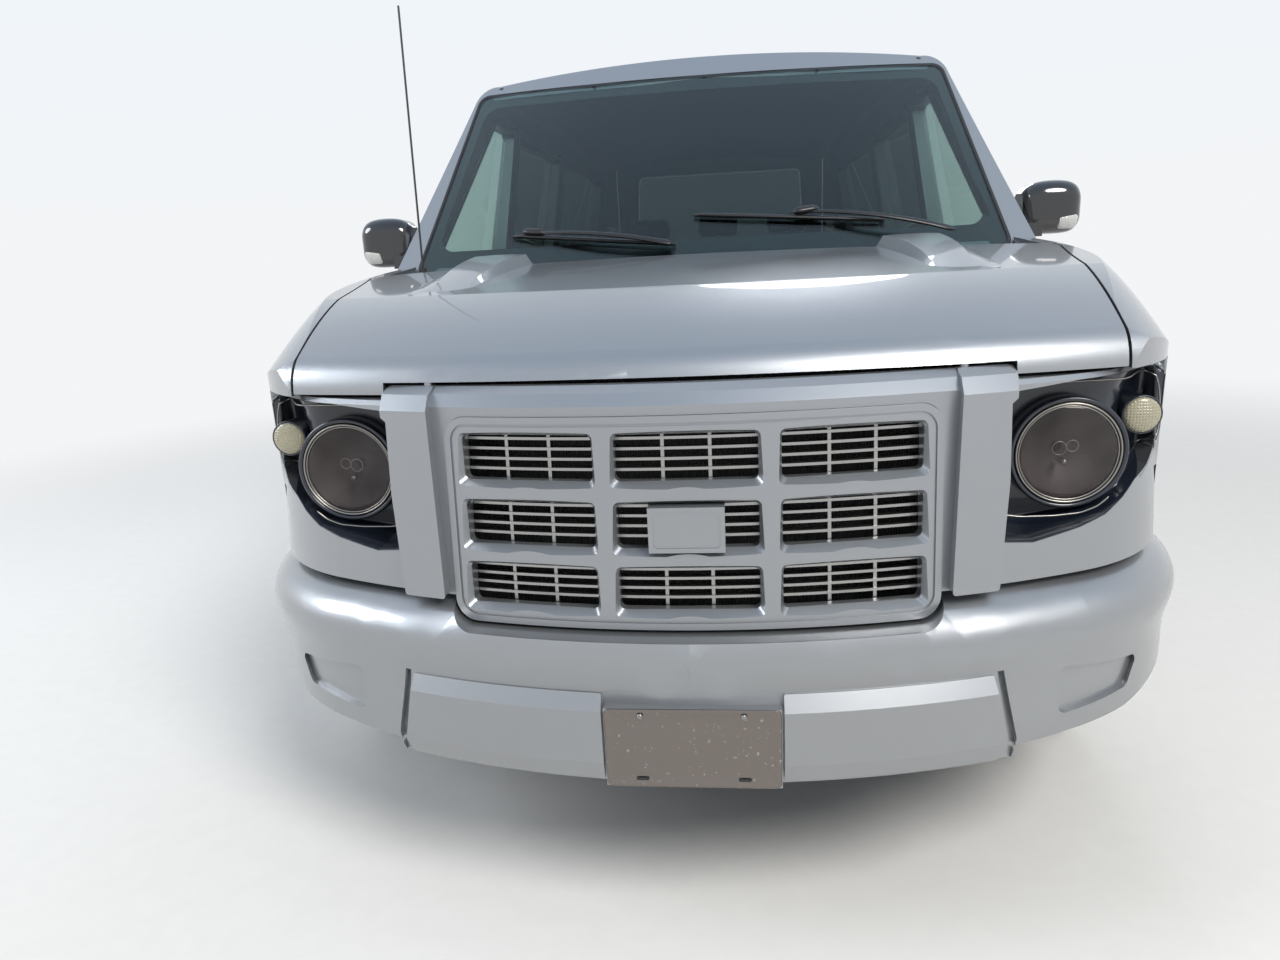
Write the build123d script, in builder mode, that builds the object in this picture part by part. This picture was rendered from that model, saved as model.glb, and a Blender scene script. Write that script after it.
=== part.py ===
"""Wheelchair accessible van: a body-on-frame passenger van with a slide-out ramp.

Frame: origin on the ground under the centre of the van, +Z up, the nose towards -Y,
the driver's side towards +X. All lengths are millimetres.
"""
from build123d import *
from math import asin, atan2, cos, degrees, sin, sqrt
import os

os.makedirs("parts", exist_ok=True)

# Overall size
length = 5207
body_half = 1000
roof_height = 1968
front = -length / 2
rear = length / 2
reach_out = 1400


def back(distance):
    """Station on the Y axis at this distance behind the foremost plane of the van."""
    return front + distance


# Wheels and axles
wheelbase = 2946
front_axle_y = back(955)
rear_axle_y = front_axle_y + wheelbase
track_half = 840
tyre_radius = 368
tyre_width = 235
tyre_corner = 34
rim_radius = 222
rim_width = 196
bead_gap = 0.3
kingpin_half = 745
arch_radius_front = 432
arch_radius_rear = 408
wheelhouse_inner_front = 520
wheelhouse_inner_rear = 695

# Body walls
door_wall = 92
frame_wall = 46
roof_wall = 46
skin_wall = 28
skin_lap = 36
lap_gap = 12
sill_bottom = 225
floor_top = 366
floor_thickness = 40
shut_gap = 6
seat_gap = 0.3
glass_thickness = 5
glass_inset = 10
side_inner = body_half - door_wall

# Doors and windows: stations behind the front and heights
door_front_lead = 1420
door_split = 2450
door_rear_trail = 3440
door_bottom = 376
door_top = 1806
belt_height = 1180
window_bottom = 1196
window_top = 1752
pillar_foot = (door_front_lead, 1223)
pillar_slope = 574 / 651
frame_width = 55
quarter_lead = 3545
quarter_trail = 4860

# Windshield: centre line foot and head (station, height) and the plan radius of its curve
screen_foot = (1215, 1245)
screen_head = (1881, 1819)
screen_radius = 3280
screen_foot_half = 872
screen_head_half = 812
screen_bottom = 1215
screen_top = 1836
screen_lap = 22
screen_depth = 7
screen_angle = atan2(screen_head[1] - screen_foot[1], screen_head[0] - screen_foot[0])
screen_run = (screen_head[0] - screen_foot[0]) / (screen_head[1] - screen_foot[1])

# Roof panel and tailgate
ditch_half = 735
roof_lead = 1900
gate_lead = 5000
gate_half = 720
gate_bottom = 520
gate_top_height = 1936
tail_wall = 84

# Front end plan curves
nose_radius = 1700
nose_start = 80
nose_corner = 425
bumper_radius = 1750
bumper_corner = 500
curve_switch = 700
hood_sweep = 3000
hood_lip = 178
hood_wall = 40
hood_lip_height = 1014
hood_notch_height = 1036
hood_notch_half = 571
hood_rear = 1092
hood_half = 906
fascia_half = 905
fascia_wall = 60
fascia_trail = 480

# Ladder frame
hitch_spacing_x = 700
hitch_spacing_y = 40
hitch_hole = 7
rail_inner = 405
rail_outer = 475
rail_bottom = 195
rail_top = 295


def keep(part, name):
    """Label a finished piece and write it."""
    part.label = name
    export_step(part, f"parts/{name}.step")


def both_sides(part):
    """The piece and its mirror image across the centre line, as one node."""
    with BuildPart() as pair:
        add(part)
        add(mirror(part, about=Plane.YZ, mode=Mode.PRIVATE))
    return pair.part


def other_side(part):
    """The mirror image of a piece across the centre line."""
    with BuildPart() as image:
        add(mirror(part, about=Plane.YZ, mode=Mode.PRIVATE))
    return image.part


def bar(low, high):
    """A plain rectangular member between two corners."""
    size = [high[i] - low[i] for i in range(3)]
    middle = Vector(*[(high[i] + low[i]) / 2 for i in range(3)])
    with BuildPart() as member:
        with Locations(middle):
            Box(*size)
    return member.part


def side_prism(points, low, high, radius=0):
    """A side-view outline (station, height) carried across from one X to another."""
    with BuildPart() as prism:
        with BuildSketch(Plane.YZ.offset(low)) as outline:
            with BuildLine():
                Polyline([(back(s), z) for s, z in points], close=True)
            make_face()
            if radius:
                fillet(outline.vertices(), radius)
        extrude(amount=high - low)
    return prism.part


def front_prism(points, near, far, radius=0):
    """A front-view outline (X, height) carried back from one station to another."""
    with BuildPart() as prism:
        with BuildSketch(Plane.XZ.offset(-back(near))) as outline:
            with BuildLine():
                Polyline(points, close=True)
            make_face()
            if radius:
                fillet(outline.vertices(), radius)
        extrude(amount=-(far - near))
    return prism.part


# The cabin's cross sections. Columns: distance behind the front, half widths at the sill, the
# waist, the belt and the cant rail, then heights of the cant rail, roof edge and crown.
cabin_table = [
    (1150, 945, 1000, 962, 826, 1800, 1850, 1880),
    (2050, 945, 1000, 962, 826, 1822, 1872, 1918),
    (2900, 945, 1000, 962, 828, 1862, 1914, 1962),
    (4000, 945, 1000, 962, 828, 1866, 1918, roof_height),
    (5230, 930, 985, 948, 812, 1828, 1880, 1930),
]
waist_height = 700
roof_corner = 78


def cabin(lower, upper, top, bottom):
    """The cabin's outline as one solid, drawn in by a wall at the doors, glass, roof and floor."""
    with BuildPart() as hull:
        for station, sill, waist, belt, cant, cant_z, edge_z, crown_z in cabin_table:
            with BuildSketch(Plane.XZ.offset(-back(station))):
                with BuildLine():
                    foot = (sill - lower, bottom)
                    side = (waist - lower, waist_height)
                    low_belt = (belt + 12 - lower, belt_height - 40)
                    belt_at = (belt - (lower + upper) / 2, belt_height)
                    cant_at = (cant - upper, cant_z - top / 2)
                    corner = (cant - upper / 2 - roof_corner * 0.32, edge_z - top * 0.9 - 14)
                    edge = (cant - roof_corner - upper / 2, edge_z - top)
                    Line((-foot[0], foot[1]), foot)
                    ThreePointArc(foot, side, low_belt)
                    Line(low_belt, belt_at)
                    Line(belt_at, cant_at)
                    ThreePointArc(cant_at, corner, edge)
                    ThreePointArc(edge, (0, crown_z - top), (-edge[0], edge[1]))
                    ThreePointArc((-edge[0], edge[1]), (-corner[0], corner[1]), (-cant_at[0], cant_at[1]))
                    Line((-cant_at[0], cant_at[1]), (-belt_at[0], belt_at[1]))
                    Line((-belt_at[0], belt_at[1]), (-low_belt[0], low_belt[1]))
                    ThreePointArc((-low_belt[0], low_belt[1]), (-side[0], side[1]), (-foot[0], foot[1]))
                make_face()
        loft()
    return hull.part


def screen_block(depth):
    """Everything behind the windshield's curved surface, set back from it by a depth."""
    setback = depth / sin(screen_angle)
    start_z = 100
    crown = screen_foot[0] - (screen_foot[1] - start_z) * screen_run + setback
    sag = reach_out**2 / (2 * screen_radius)
    with BuildPart() as block:
        with BuildSketch(Plane.XY.offset(start_z)):
            with BuildLine():
                left = (-reach_out, back(crown + sag))
                right = (reach_out, back(crown + sag))
                ThreePointArc(left, (0, back(crown)), right)
                Line(right, (reach_out, rear + 2 * length))
                Line((reach_out, rear + 2 * length), (-reach_out, rear + 2 * length))
                Line((-reach_out, rear + 2 * length), left)
            make_face()
        rise = 2200 - start_z
        extrude(amount=(Vector(0, screen_run, 1) * rise).length, dir=(0, screen_run, 1))
    return block.part


def tail_block(inset):
    """Everything ahead of the tail's outline, with rounded rear corners, drawn in by a wall."""
    with BuildPart() as block:
        with BuildSketch(Plane.YZ.offset(-reach_out)):
            with BuildLine():
                low = (rear - 6 - inset, 100)
                waist = (rear - inset, 900)
                head = (back(5122) - inset, 1925)
                Line((front, 100), low)
                ThreePointArc(low, waist, head)
                Line(head, (head[0] - 60, 2300))
                Line((head[0] - 60, 2300), (front, 2300))
                Line((front, 2300), (front, 100))
            make_face()
        extrude(amount=2 * reach_out)
        with BuildSketch(Plane.XY) as plan:
            with BuildLine():
                half = body_half + 20 - inset
                corner_y = rear - 60 - inset
                Line((-half, front), (half, front))
                Line((half, front), (half, corner_y))
                ThreePointArc((half, corner_y), (0, rear + 2 - inset), (-half, corner_y))
                Line((-half, corner_y), (-half, front))
            make_face()
            fillet(plan.vertices().group_by(Axis.Y)[-1], 120)
        extrude(amount=2300, mode=Mode.INTERSECT)
    return block.part


outer = cabin(0, 0, 0, sill_bottom) & screen_block(0) & tail_block(0)
inner = (
    cabin(door_wall, frame_wall, roof_wall, floor_top)
    & screen_block(frame_wall)
    & tail_block(tail_wall)
)
shell = outer - inner

# Windshield
def screen_outline(inset):
    """The windshield's outline in front view, drawn in by an inset."""
    low = screen_bottom + inset
    high = screen_top - inset
    low_half = screen_foot_half + 4 - inset
    high_half = screen_head_half - 2 - inset
    return front_prism(
        [(-low_half, low), (low_half, low), (high_half, high), (-high_half, high)], 900, 2300, 40
    )


with BuildPart() as windshield:
    add(outer)
    add(screen_block(seat_gap), mode=Mode.INTERSECT)
    add(screen_block(screen_depth - seat_gap), mode=Mode.SUBTRACT)
    add(screen_outline(0), mode=Mode.INTERSECT)
screen_cut = (screen_outline(-4) - screen_block(screen_depth)) + screen_outline(screen_lap)

# Roof panel, between the ditches
roof_zone = bar((-ditch_half, back(roof_lead), 1700), (ditch_half, back(gate_lead), 2300))
with BuildPart() as roof:
    add(shell)
    add(roof_zone, mode=Mode.INTERSECT)
    add(screen_cut, mode=Mode.SUBTRACT)
keep(roof.part, "roof")
keep(windshield.part, "windshield")

# Doors: outlines in side view (station, height)
gap = shut_gap / 2
front_outline = [
    (door_front_lead, door_bottom),
    (door_front_lead, pillar_foot[1]),
    (door_front_lead + (door_top - pillar_foot[1]) / pillar_slope, door_top),
    (door_split - gap, door_top),
    (door_split - gap, door_bottom),
]
rear_outline = [
    (door_split + gap, door_bottom),
    (door_split + gap, door_top),
    (door_rear_trail, door_top),
    (door_rear_trail, door_bottom),
]
window_lead = 1545
window_corner = 28
window_rise = pillar_foot[1] - frame_width * 0.75 + (window_lead - door_front_lead - 36) * pillar_slope
front_window = [
    (window_lead, window_bottom),
    (window_lead, window_rise),
    (window_lead + (window_top - window_rise) / pillar_slope, window_top),
    (door_split - gap - frame_width, window_top),
    (door_split - gap - frame_width, window_bottom),
]
rear_window = [
    (door_split + gap + frame_width, window_bottom),
    (door_split + gap + frame_width, window_top),
    (door_rear_trail - frame_width, window_top),
    (door_rear_trail - frame_width, window_bottom),
]
quarter_window = [
    (quarter_lead, window_bottom),
    (quarter_lead, window_top),
    (quarter_trail - 70, window_top),
    (quarter_trail, window_bottom),
]


def grown(points, amount, low, high, radius):
    """A side-view outline grown or shrunk by an amount and carried across the wall."""
    with BuildPart() as prism:
        with BuildSketch(Plane.YZ.offset(low)) as outline:
            with BuildLine():
                Polyline([(back(s), z) for s, z in points], close=True)
            make_face()
            offset(amount=amount, kind=Kind.INTERSECTION)
            fillet(outline.vertices(), radius)
        extrude(amount=high - low)
    return prism.part


skin_side = cabin(skin_wall, skin_wall, skin_wall, 0)
skin_back = cabin(skin_wall + shut_gap, skin_wall + shut_gap, 0, 0)
glass_out = cabin(glass_inset, glass_inset, 0, 0)
glass_in = cabin(glass_inset + glass_thickness, glass_inset + glass_thickness, 0, 0)
glass_zone = glass_out - glass_in


hinge_heights = (520, 960)
handle_inset = 58
handle_long = 150
handle_tall = 27
handle_z = 985
handle_reach = 30
hand_end = 26
hand_room = 12
handle_skin = 12
handle_zone = cabin(-handle_reach, 0, 0, 0) - cabin(2, 0, 0, 0)
hollow_zone = cabin(-handle_reach + handle_skin, 0, 0, 0) - skin_side
hinge_height = 70


def door(outline, window):
    """A door as thick as the wall: a skin that laps a smaller inner panel, and its window."""
    with BuildPart() as panel:
        add(shell)
        add(grown(outline, 0, 500, 1100, 12), mode=Mode.INTERSECT)
        ring = grown(outline, 50, 500, 1100, 30) - grown(outline, -skin_lap, 500, 1100, 20)
        add(ring & skin_side, mode=Mode.SUBTRACT)
        add(grown(window, 0, 500, 1100, window_corner), mode=Mode.SUBTRACT)
        trail = outline[-1][0]
        near, far = trail - handle_inset - handle_long, trail - handle_inset
        low, high = handle_z, handle_z + handle_tall
        grip = side_prism([(near, low), (far, low), (far, high), (near, high)], 900, 1100, 11)
        add(grip & handle_zone)
        near, far = near + hand_end, far - hand_end
        low, high = low - hand_room, high + hand_room
        hollow = side_prism([(near, low), (far, low), (far, high), (near, high)], 900, 1100, 8)
        add(hollow & hollow_zone, mode=Mode.SUBTRACT)
        lead = outline[0][0]
        for z in hinge_heights:
            near = back(lead + skin_lap - lap_gap) + seat_gap
            add(bar((side_inner + 6, near, z), (side_inner + 42, near + lap_gap + 4, z + hinge_height)))
    with BuildPart() as pane:
        add(glass_zone)
        add(grown(window, -seat_gap, 500, 1100, window_corner), mode=Mode.INTERSECT)
    return panel.part, pane.part


def doorway(outline):
    """The opening that a door fills: the skin with its gap, and the smaller way through."""
    way = grown(outline, shut_gap, 500, 1100, 12) - skin_back
    return way + grown(outline, lap_gap - skin_lap, 500, 1100, 20)


doors = {"door_front": (front_outline, front_window), "door_rear": (rear_outline, rear_window)}
for name, (outline, window) in doors.items():
    panel, pane = door(outline, window)
    keep(panel, f"{name}_left")
    keep(pane, f"{name}_glass_left")
    keep(other_side(panel), f"{name}_right")
    keep(other_side(pane), f"{name}_glass_right")

# Tailgate with its glass, a plate recess and a hand pocket
plate_recess = 14
gate_window = [(-600, 1215), (600, 1215), (560, 1790), (-560, 1790)]
gate_outline = [
    (-gate_half, gate_bottom), (gate_half, gate_bottom), (gate_half - 10, 2100),
    (10 - gate_half, 2100),
]
gate_zone = front_prism(gate_outline, gate_lead, 5400)
gate_way = front_prism(
    [
        (-gate_half - shut_gap, gate_bottom - shut_gap),
        (gate_half + shut_gap, gate_bottom - shut_gap),
        (gate_half - 10 + shut_gap, 2100),
        (10 - gate_half - shut_gap, 2100),
    ],
    gate_lead - shut_gap,
    5400,
)
with BuildPart() as tailgate:
    add(shell)
    add(gate_zone, mode=Mode.INTERSECT)
    add(front_prism(gate_window, gate_lead + 20, 5400, 40), mode=Mode.SUBTRACT)
    recess_band = tail_block(-20) - tail_block(plate_recess)
    recess = [(-172, 690), (172, 690), (172, 862), (-172, 862)]
    pull = [(-110, 905), (110, 905), (110, 955), (-110, 955)]
    add(recess_band & front_prism(recess, gate_lead + 40, 5400, 16), mode=Mode.SUBTRACT)
    add(recess_band & front_prism(pull, gate_lead + 40, 5400, 14), mode=Mode.SUBTRACT)
with BuildPart() as tailgate_glass:
    add(cabin(0, 0, 0, 0) & tail_block(glass_inset))
    add(tail_block(glass_inset + glass_thickness), mode=Mode.SUBTRACT)
    inset_window = [(-600 + 1, 1216), (599, 1216), (559, 1789), (-559, 1789)]
    add(front_prism(inset_window, gate_lead + 60, 5400, 39), mode=Mode.INTERSECT)
keep(tailgate.part, "tailgate")
keep(tailgate_glass.part, "tailgate_glass")


def wheel_arch(axle_y, radius, low, high):
    """The space round a wheel, from one X to another."""
    with BuildPart() as space:
        with BuildSketch(Plane.YZ.offset(low)):
            with Locations((axle_y, tyre_radius)):
                Circle(radius)
            with Locations((axle_y, tyre_radius / 2 - 60)):
                Rectangle(2 * radius, tyre_radius + 120)
        extrude(amount=high - low)
    return space.part


rear_arch = wheel_arch(rear_axle_y, arch_radius_rear, wheelhouse_inner_rear, 1100)
front_arch = wheel_arch(front_axle_y, arch_radius_front, wheelhouse_inner_front, 1100)

# Body side: pillars, sill, roof rail and quarter panel of one side
lamp_pocket = bar((gate_half + 22, back(5080), 900), (body_half + 50, rear + 50, 1460))
with BuildPart() as side_left:
    add(shell)
    add(bar((0, back(1000), 0), (reach_out, rear + 50, 2300)), mode=Mode.INTERSECT)
    add(
        bar((0, back(1000), 0), (reach_out, back(door_front_lead - shut_gap / 2), 1180)),
        mode=Mode.SUBTRACT,
    )
    add(roof_zone, mode=Mode.SUBTRACT)
    add(gate_way, mode=Mode.SUBTRACT)
    add(screen_cut, mode=Mode.SUBTRACT)
    add(doorway(front_outline), mode=Mode.SUBTRACT)
    add(doorway(rear_outline), mode=Mode.SUBTRACT)
    add(grown(quarter_window, 0, 500, 1100, 45), mode=Mode.SUBTRACT)
    add(rear_arch, mode=Mode.SUBTRACT)
    add(lamp_pocket, mode=Mode.SUBTRACT)
    add(bar((0, back(900), 0), (side_inner - 6, rear + 50, floor_top + 1)), mode=Mode.SUBTRACT)
    add(bar((-1100, back(5050), 0), (1100, rear + 50, 520)), mode=Mode.SUBTRACT)
    add(bar((-1100, back(4300), 0), (1100, rear + 50, 300)), mode=Mode.SUBTRACT)
side_left_part = max(side_left.part.solids(), key=lambda piece: piece.volume)
with BuildPart() as body_sides:
    add(both_sides(side_left_part))
    add(bar((-1100, back(2490), 290), (0, back(3400), 332)), mode=Mode.SUBTRACT)
keep(body_sides.part, "body_sides")

with BuildPart() as quarter_glass:
    add(glass_zone)
    add(grown(quarter_window, -seat_gap, 500, 1100, 45), mode=Mode.INTERSECT)
keep(both_sides(quarter_glass.part), "quarter_glasses")


def plan_region(start, radius, corner, depth, low, high):
    """Everything behind a plan curve made of a wide arc and a corner arc on each side."""
    turn = degrees(asin(curve_switch / radius))
    with BuildPart() as region:
        with BuildSketch(Plane.XY.offset(low)):
            with BuildLine():
                wide = JernArc((0, back(start + depth)), (1, 0), radius - depth, turn)
                round_off = JernArc(wide @ 1, wide % 1, corner - depth, 90 - turn)
                side = Line(round_off @ 1, ((round_off @ 1).X, back(1900)))
                Line(side @ 1, (0, back(1900)))
                Line((0, back(1900)), wide @ 0)
            make_face()
        extrude(amount=high - low)
    return both_sides(region.part)


# Sections of the front wings. Columns: distance behind the front, half widths at the sill, the
# waist, then (half width, height) pairs of the shoulder's start, middle and end.
wing_table = [
    (40, 895, 945, (905, 880), (838, 955), (740, 990)),
    (240, 903, 952, (915, 915), (862, 998), (765, 1044)),
    (430, 915, 966, (935, 945), (892, 1056), (784, 1130)),
    (620, 930, 985, (952, 975), (910, 1125), (765, 1208)),
    (1440, 945, 1000, (985, 1040), (962, 1180), (850, 1275)),
]
crown_in = 150
crown_up = 90
hood_profile = [(12, 1052), (45, 1082), (170, 1137), (330, 1182), (800, 1233), (1300, 1276)]


def clip(inset):
    """The front end's outline ahead of the doors, drawn in by a wall."""
    with BuildPart() as body:
        for station, sill, waist, start, middle, end in wing_table:
            with BuildSketch(Plane.XZ.offset(-back(station))):
                with BuildLine():
                    low = (sill - inset, sill_bottom)
                    mid = (waist - inset, waist_height)
                    p1 = (start[0] - inset, start[1])
                    p2 = (middle[0] - inset * 0.8, middle[1] - inset * 0.6)
                    p3 = (end[0] - inset * 0.3, end[1] - inset)
                    Line((-low[0], low[1]), low)
                    ThreePointArc(low, mid, p1)
                    ThreePointArc(p1, p2, p3)
                    p4 = (p3[0] - crown_in, p3[1] + crown_up)
                    Polyline(p3, p4, (-p4[0], p4[1]), (-p3[0], p3[1]))
                    ThreePointArc((-p3[0], p3[1]), (-p2[0], p2[1]), (-p1[0], p1[1]))
                    ThreePointArc((-p1[0], p1[1]), (-mid[0], mid[1]), (-low[0], low[1]))
                make_face()
        loft()
    with BuildPart() as nose:
        with BuildSketch(Plane.YZ):
            with BuildLine():
                pts = [(back(hood_lip) + s + inset, z - inset) for s, z in hood_profile]
                lip = back(hood_lip) + inset
                Line((lip, 100), (lip, 1010 - inset))
                ThreePointArc((lip, 1010 - inset), pts[0], pts[1])
                ThreePointArc(pts[1], pts[2], pts[3])
                ThreePointArc(pts[3], pts[4], pts[5])
                Line(pts[5], (pts[5][0], 100))
                Line((pts[5][0], 100), (lip, 100))
            make_face()
        revolve(axis=Axis((0, back(hood_lip + hood_sweep), 0), (0, 0, 1)))
    low_band = bar((-reach_out, front - 50, 0), (reach_out, back(1900), 990))
    high = body.part & nose.part
    low_part = body.part & low_band
    return (high + low_part) & plan_region(nose_start, nose_radius, nose_corner, inset, 0, 1500)


clip_out = clip(0)
clip_in = clip(hood_wall)
clip_shell = clip_out - clip_in


def hood_plan(amount):
    """The hood's outline from above, grown by an amount, as a tall prism."""
    with BuildPart() as prism:
        with BuildSketch(Plane.XY.offset(900)):
            with BuildLine():
                Line((0, back(40)), (772, back(40)))
                Line((772, back(40)), (772, back(270)))
                ThreePointArc((772, back(270)), (806, back(560)), (922, back(hood_rear)))
                Line((922, back(hood_rear)), (0, back(hood_rear)))
                Line((0, back(hood_rear)), (0, back(40)))
            make_face()
            mirror(about=Plane.YZ)
            offset(amount=amount, kind=Kind.INTERSECTION)
            Rectangle(2 * (hood_half + amount), length, mode=Mode.INTERSECT)
        extrude(amount=500)
    return prism.part


lip_line = [
    (-1100, hood_lip_height),
    (-hood_notch_half, hood_lip_height),
    (-hood_notch_half, hood_notch_height),
    (hood_notch_half, hood_notch_height),
    (hood_notch_half, hood_lip_height),
    (1100, hood_lip_height),
    (1100, 1500),
    (-1100, 1500),
]
# Raised bulges on the hood, fading out towards the nose. Columns: distance behind the front,
# half widths of the inner foot, inner top, outer top and outer foot, heights of foot and top.
bulge_table = [
    (600, 498, 515, 600, 640, 1186, 1180),
    (760, 497, 520, 612, 664, 1200, 1218),
    (1150, 440, 466, 620, 690, 1226, 1270),
]
with BuildPart() as bulge:
    for station, inner_foot, inner_top, outer_top, outer_foot, foot_z, top_z in bulge_table:
        with BuildSketch(Plane.XZ.offset(-back(station))):
            with BuildLine():
                Polyline(
                    [(inner_foot, foot_z - 60), (inner_foot, foot_z), (inner_top, top_z)],
                )
                Polyline(
                    [
                        (outer_top, top_z), (outer_foot, foot_z), (outer_foot, foot_z - 60),
                        (inner_foot, foot_z - 60),
                    ],
                )
                middle_x = (inner_top + outer_top) / 2
                ThreePointArc((inner_top, top_z), (middle_x, top_z + 2), (outer_top, top_z))
            make_face()
    loft()
bulges = both_sides(bulge.part - clip_in)
with BuildPart() as hood:
    add(clip_shell)
    add(bulges)
    add(hood_plan(0), mode=Mode.INTERSECT)
    add(front_prism(lip_line, -50, 1500), mode=Mode.INTERSECT)
keep(hood.part, "hood")

# Front fenders
bumper_top = 652
screen_clear = screen_block(-6) & bar((-1100, back(900), 1174), (1100, back(1900), 1500))
with BuildPart() as fender:
    add(clip_shell)
    add(bar((0, front - 50, sill_bottom), (1100, back(door_front_lead - 3), 1500)), mode=Mode.INTERSECT)
    add(hood_plan(shut_gap), mode=Mode.SUBTRACT)
    add(bar((0, back(1000), 900), (880, back(1900), 1500)), mode=Mode.SUBTRACT)
    add(bar((0, front - 50, 0), (fascia_half + seat_gap, back(fascia_trail), 1010)), mode=Mode.SUBTRACT)
    add(bar((0, front - 50, 0), (860, back(1900), 990)), mode=Mode.SUBTRACT)
    add(bar((0, front - 50, 0), (1100, back(760), bumper_top)), mode=Mode.SUBTRACT)
    add(screen_clear, mode=Mode.SUBTRACT)
    add(front_arch, mode=Mode.SUBTRACT)
keep(both_sides(fender.part), "fenders")

# Lamp openings in front view
lamp_outline = [
    (545, 729),
    (600, 722),
    (690, 736),
    (745, 751),
    (785, 774),
    (816, 800),
    (852, 816),
    (882, 840),
    (888, 872),
    (888, 974),
    (874, 996),
    (840, 1003),
    (680, 999),
    (565, 990),
    (545, 974),
]
lamp_x = 694
lamp_z = 853
lamp_radius = 90
turn_x = 817
turn_z = 921
turn_radius = 33
lamp_front = 302
lamp_rim = 14
turn_front = 304


def swept_band(start, radius, corner, points, reach, curve=()):
    """A band whose profile (depth behind the plan curve, height) is carried along the curve.
    A curve, if given, closes the profile smoothly from its last point to its first."""
    turn = degrees(asin(curve_switch / radius))
    with BuildPart() as band:
        with BuildLine() as path:
            wide = JernArc((0, back(start)), (1, 0), radius, turn)
            round_off = JernArc(wide @ 1, wide % 1, corner, 90 - turn)
            Line(round_off @ 1, (round_off @ 1) + Vector(0, reach, 0))
        with BuildSketch(Plane.YZ):
            with BuildLine():
                Polyline([(back(start) + d, z) for d, z in points], close=not curve)
                if curve:
                    Spline([(back(start) + d, z) for d, z in (points[-1], *curve, points[0])])
            make_face()
        sweep(path=path.line)
    return both_sides(band.part)


face_lean = 0.08


def face(z):
    """Depth of the fascia's leaning face behind its plan curve at a height."""
    return (z - 760) * face_lean


fascia_profile = [(face(655), 655), (face(1000), 1000), (38, 1020), (70, 1030), (92, 1030), (92, 655)]
pillar_profile = [
    (face(655) - 26, 655), (face(1000) - 22, 995), (20, 1021), (60, 1031), (80, 1031), (80, 655),
]
pillar_outline = [(447, 655), (531, 655), (559, 1031), (461, 1031)]
grille_outline = [(-432, 612), (432, 612), (432, 984), (-432, 984)]
band = swept_band(nose_start, nose_radius, nose_corner, fascia_profile, 5)
raised = swept_band(nose_start, nose_radius, nose_corner, pillar_profile, 5)
with BuildPart() as fascia:
    add(band)
    fascia_room = bar((-fascia_half, front, 655), (fascia_half, back(fascia_trail - seat_gap), 1100))
    add(fascia_room, mode=Mode.INTERSECT)
    pillar = raised & front_prism(pillar_outline, -50, 400, 6)
    add(both_sides(pillar))
    for side in (-1, 1):
        add(
            bar(
                (min(side * 566, side * 1100), front - 50, 1008),
                (max(side * 566, side * 1100), back(700), 1100),
            ),
            mode=Mode.SUBTRACT,
        )
        add(front_prism([(side * x, z) for x, z in lamp_outline], -50, 900), mode=Mode.SUBTRACT)
    add(front_prism(grille_outline, -50, 900, 40), mode=Mode.SUBTRACT)
    with BuildSketch(Plane.XY.offset(1028)):
        with Locations((-480, back(229)), (480, back(229))):
            Circle(8)
    extrude(amount=hood_notch_height - seat_gap - 1028)
keep(fascia.part, "fascia")

# Grille: a frame of nine cells with thin bars behind
cell_columns = [(-401, -163), (-122, 122), (163, 401)]
cell_rows = [(644, 720), (754, 834), (871, 952)]
cell_bevel = 9
cell_corner = 10
cell_bevel_depth = 14
grille_profile = [(face(600) - 6, 606), (face(984) - 6, 984), (face(984) + 26, 984), (face(600) + 26, 606)]
with BuildPart() as grille:
    add(swept_band(nose_start, nose_radius, nose_corner, grille_profile, 5))
    frame_edge = [(-431.6, 612.4), (431.6, 612.4), (431.6, 983.6), (-431.6, 983.6)]
    add(front_prism(frame_edge, -50, 900, 40), mode=Mode.INTERSECT)
    line_outer = front_prism([(-420, 624), (420, 624), (420, 972), (-420, 972)], -50, 400, 32)
    line_inner = front_prism([(-415, 629), (415, 629), (415, 967), (-415, 967)], -50, 400, 28)
    line_profile = [
        (face(600) - 20, 600), (face(990) - 20, 990), (face(990) - 3, 990), (face(600) - 3, 600),
    ]
    line_band = swept_band(nose_start, nose_radius, nose_corner, line_profile, 5)
    cutters = [(line_outer - line_inner) & line_band]
    for x0, x1 in cell_columns:
        middle = (x0 + x1) / 2
        lean = asin(middle / nose_radius)
        sag = nose_radius - sqrt(nose_radius**2 - middle**2)
        wide = (x1 - x0) / cos(lean)
        for z0, z1 in cell_rows:
            depth = nose_start + sag + face((z0 + z1) / 2) - 6
            mouth = Plane(
                origin=(middle, back(depth), (z0 + z1) / 2),
                x_dir=(cos(lean), sin(lean), 0),
                z_dir=(sin(lean), -cos(lean), 0),
            )
            with BuildPart() as cell:
                for ahead, spread in ((4, cell_bevel * 1.25), (-cell_bevel_depth, 0)):
                    with BuildSketch(mouth.offset(ahead)):
                        RectangleRounded(wide + 2 * spread, z1 - z0 + 2 * spread, cell_corner)
                loft()
                with BuildSketch(mouth.offset(-cell_bevel_depth)):
                    RectangleRounded(wide, z1 - z0, cell_corner)
                extrude(amount=-60)
            cutters.append(cell.part)
    add(cutters, mode=Mode.SUBTRACT)
    add(bar((-66, back(66), 752), (64, back(104), 832)))
    add(front_prism([(-58, 760), (56, 760), (56, 824), (-58, 824)], 50, 68, 8), mode=Mode.SUBTRACT)
keep(grille.part, "grille")

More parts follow.
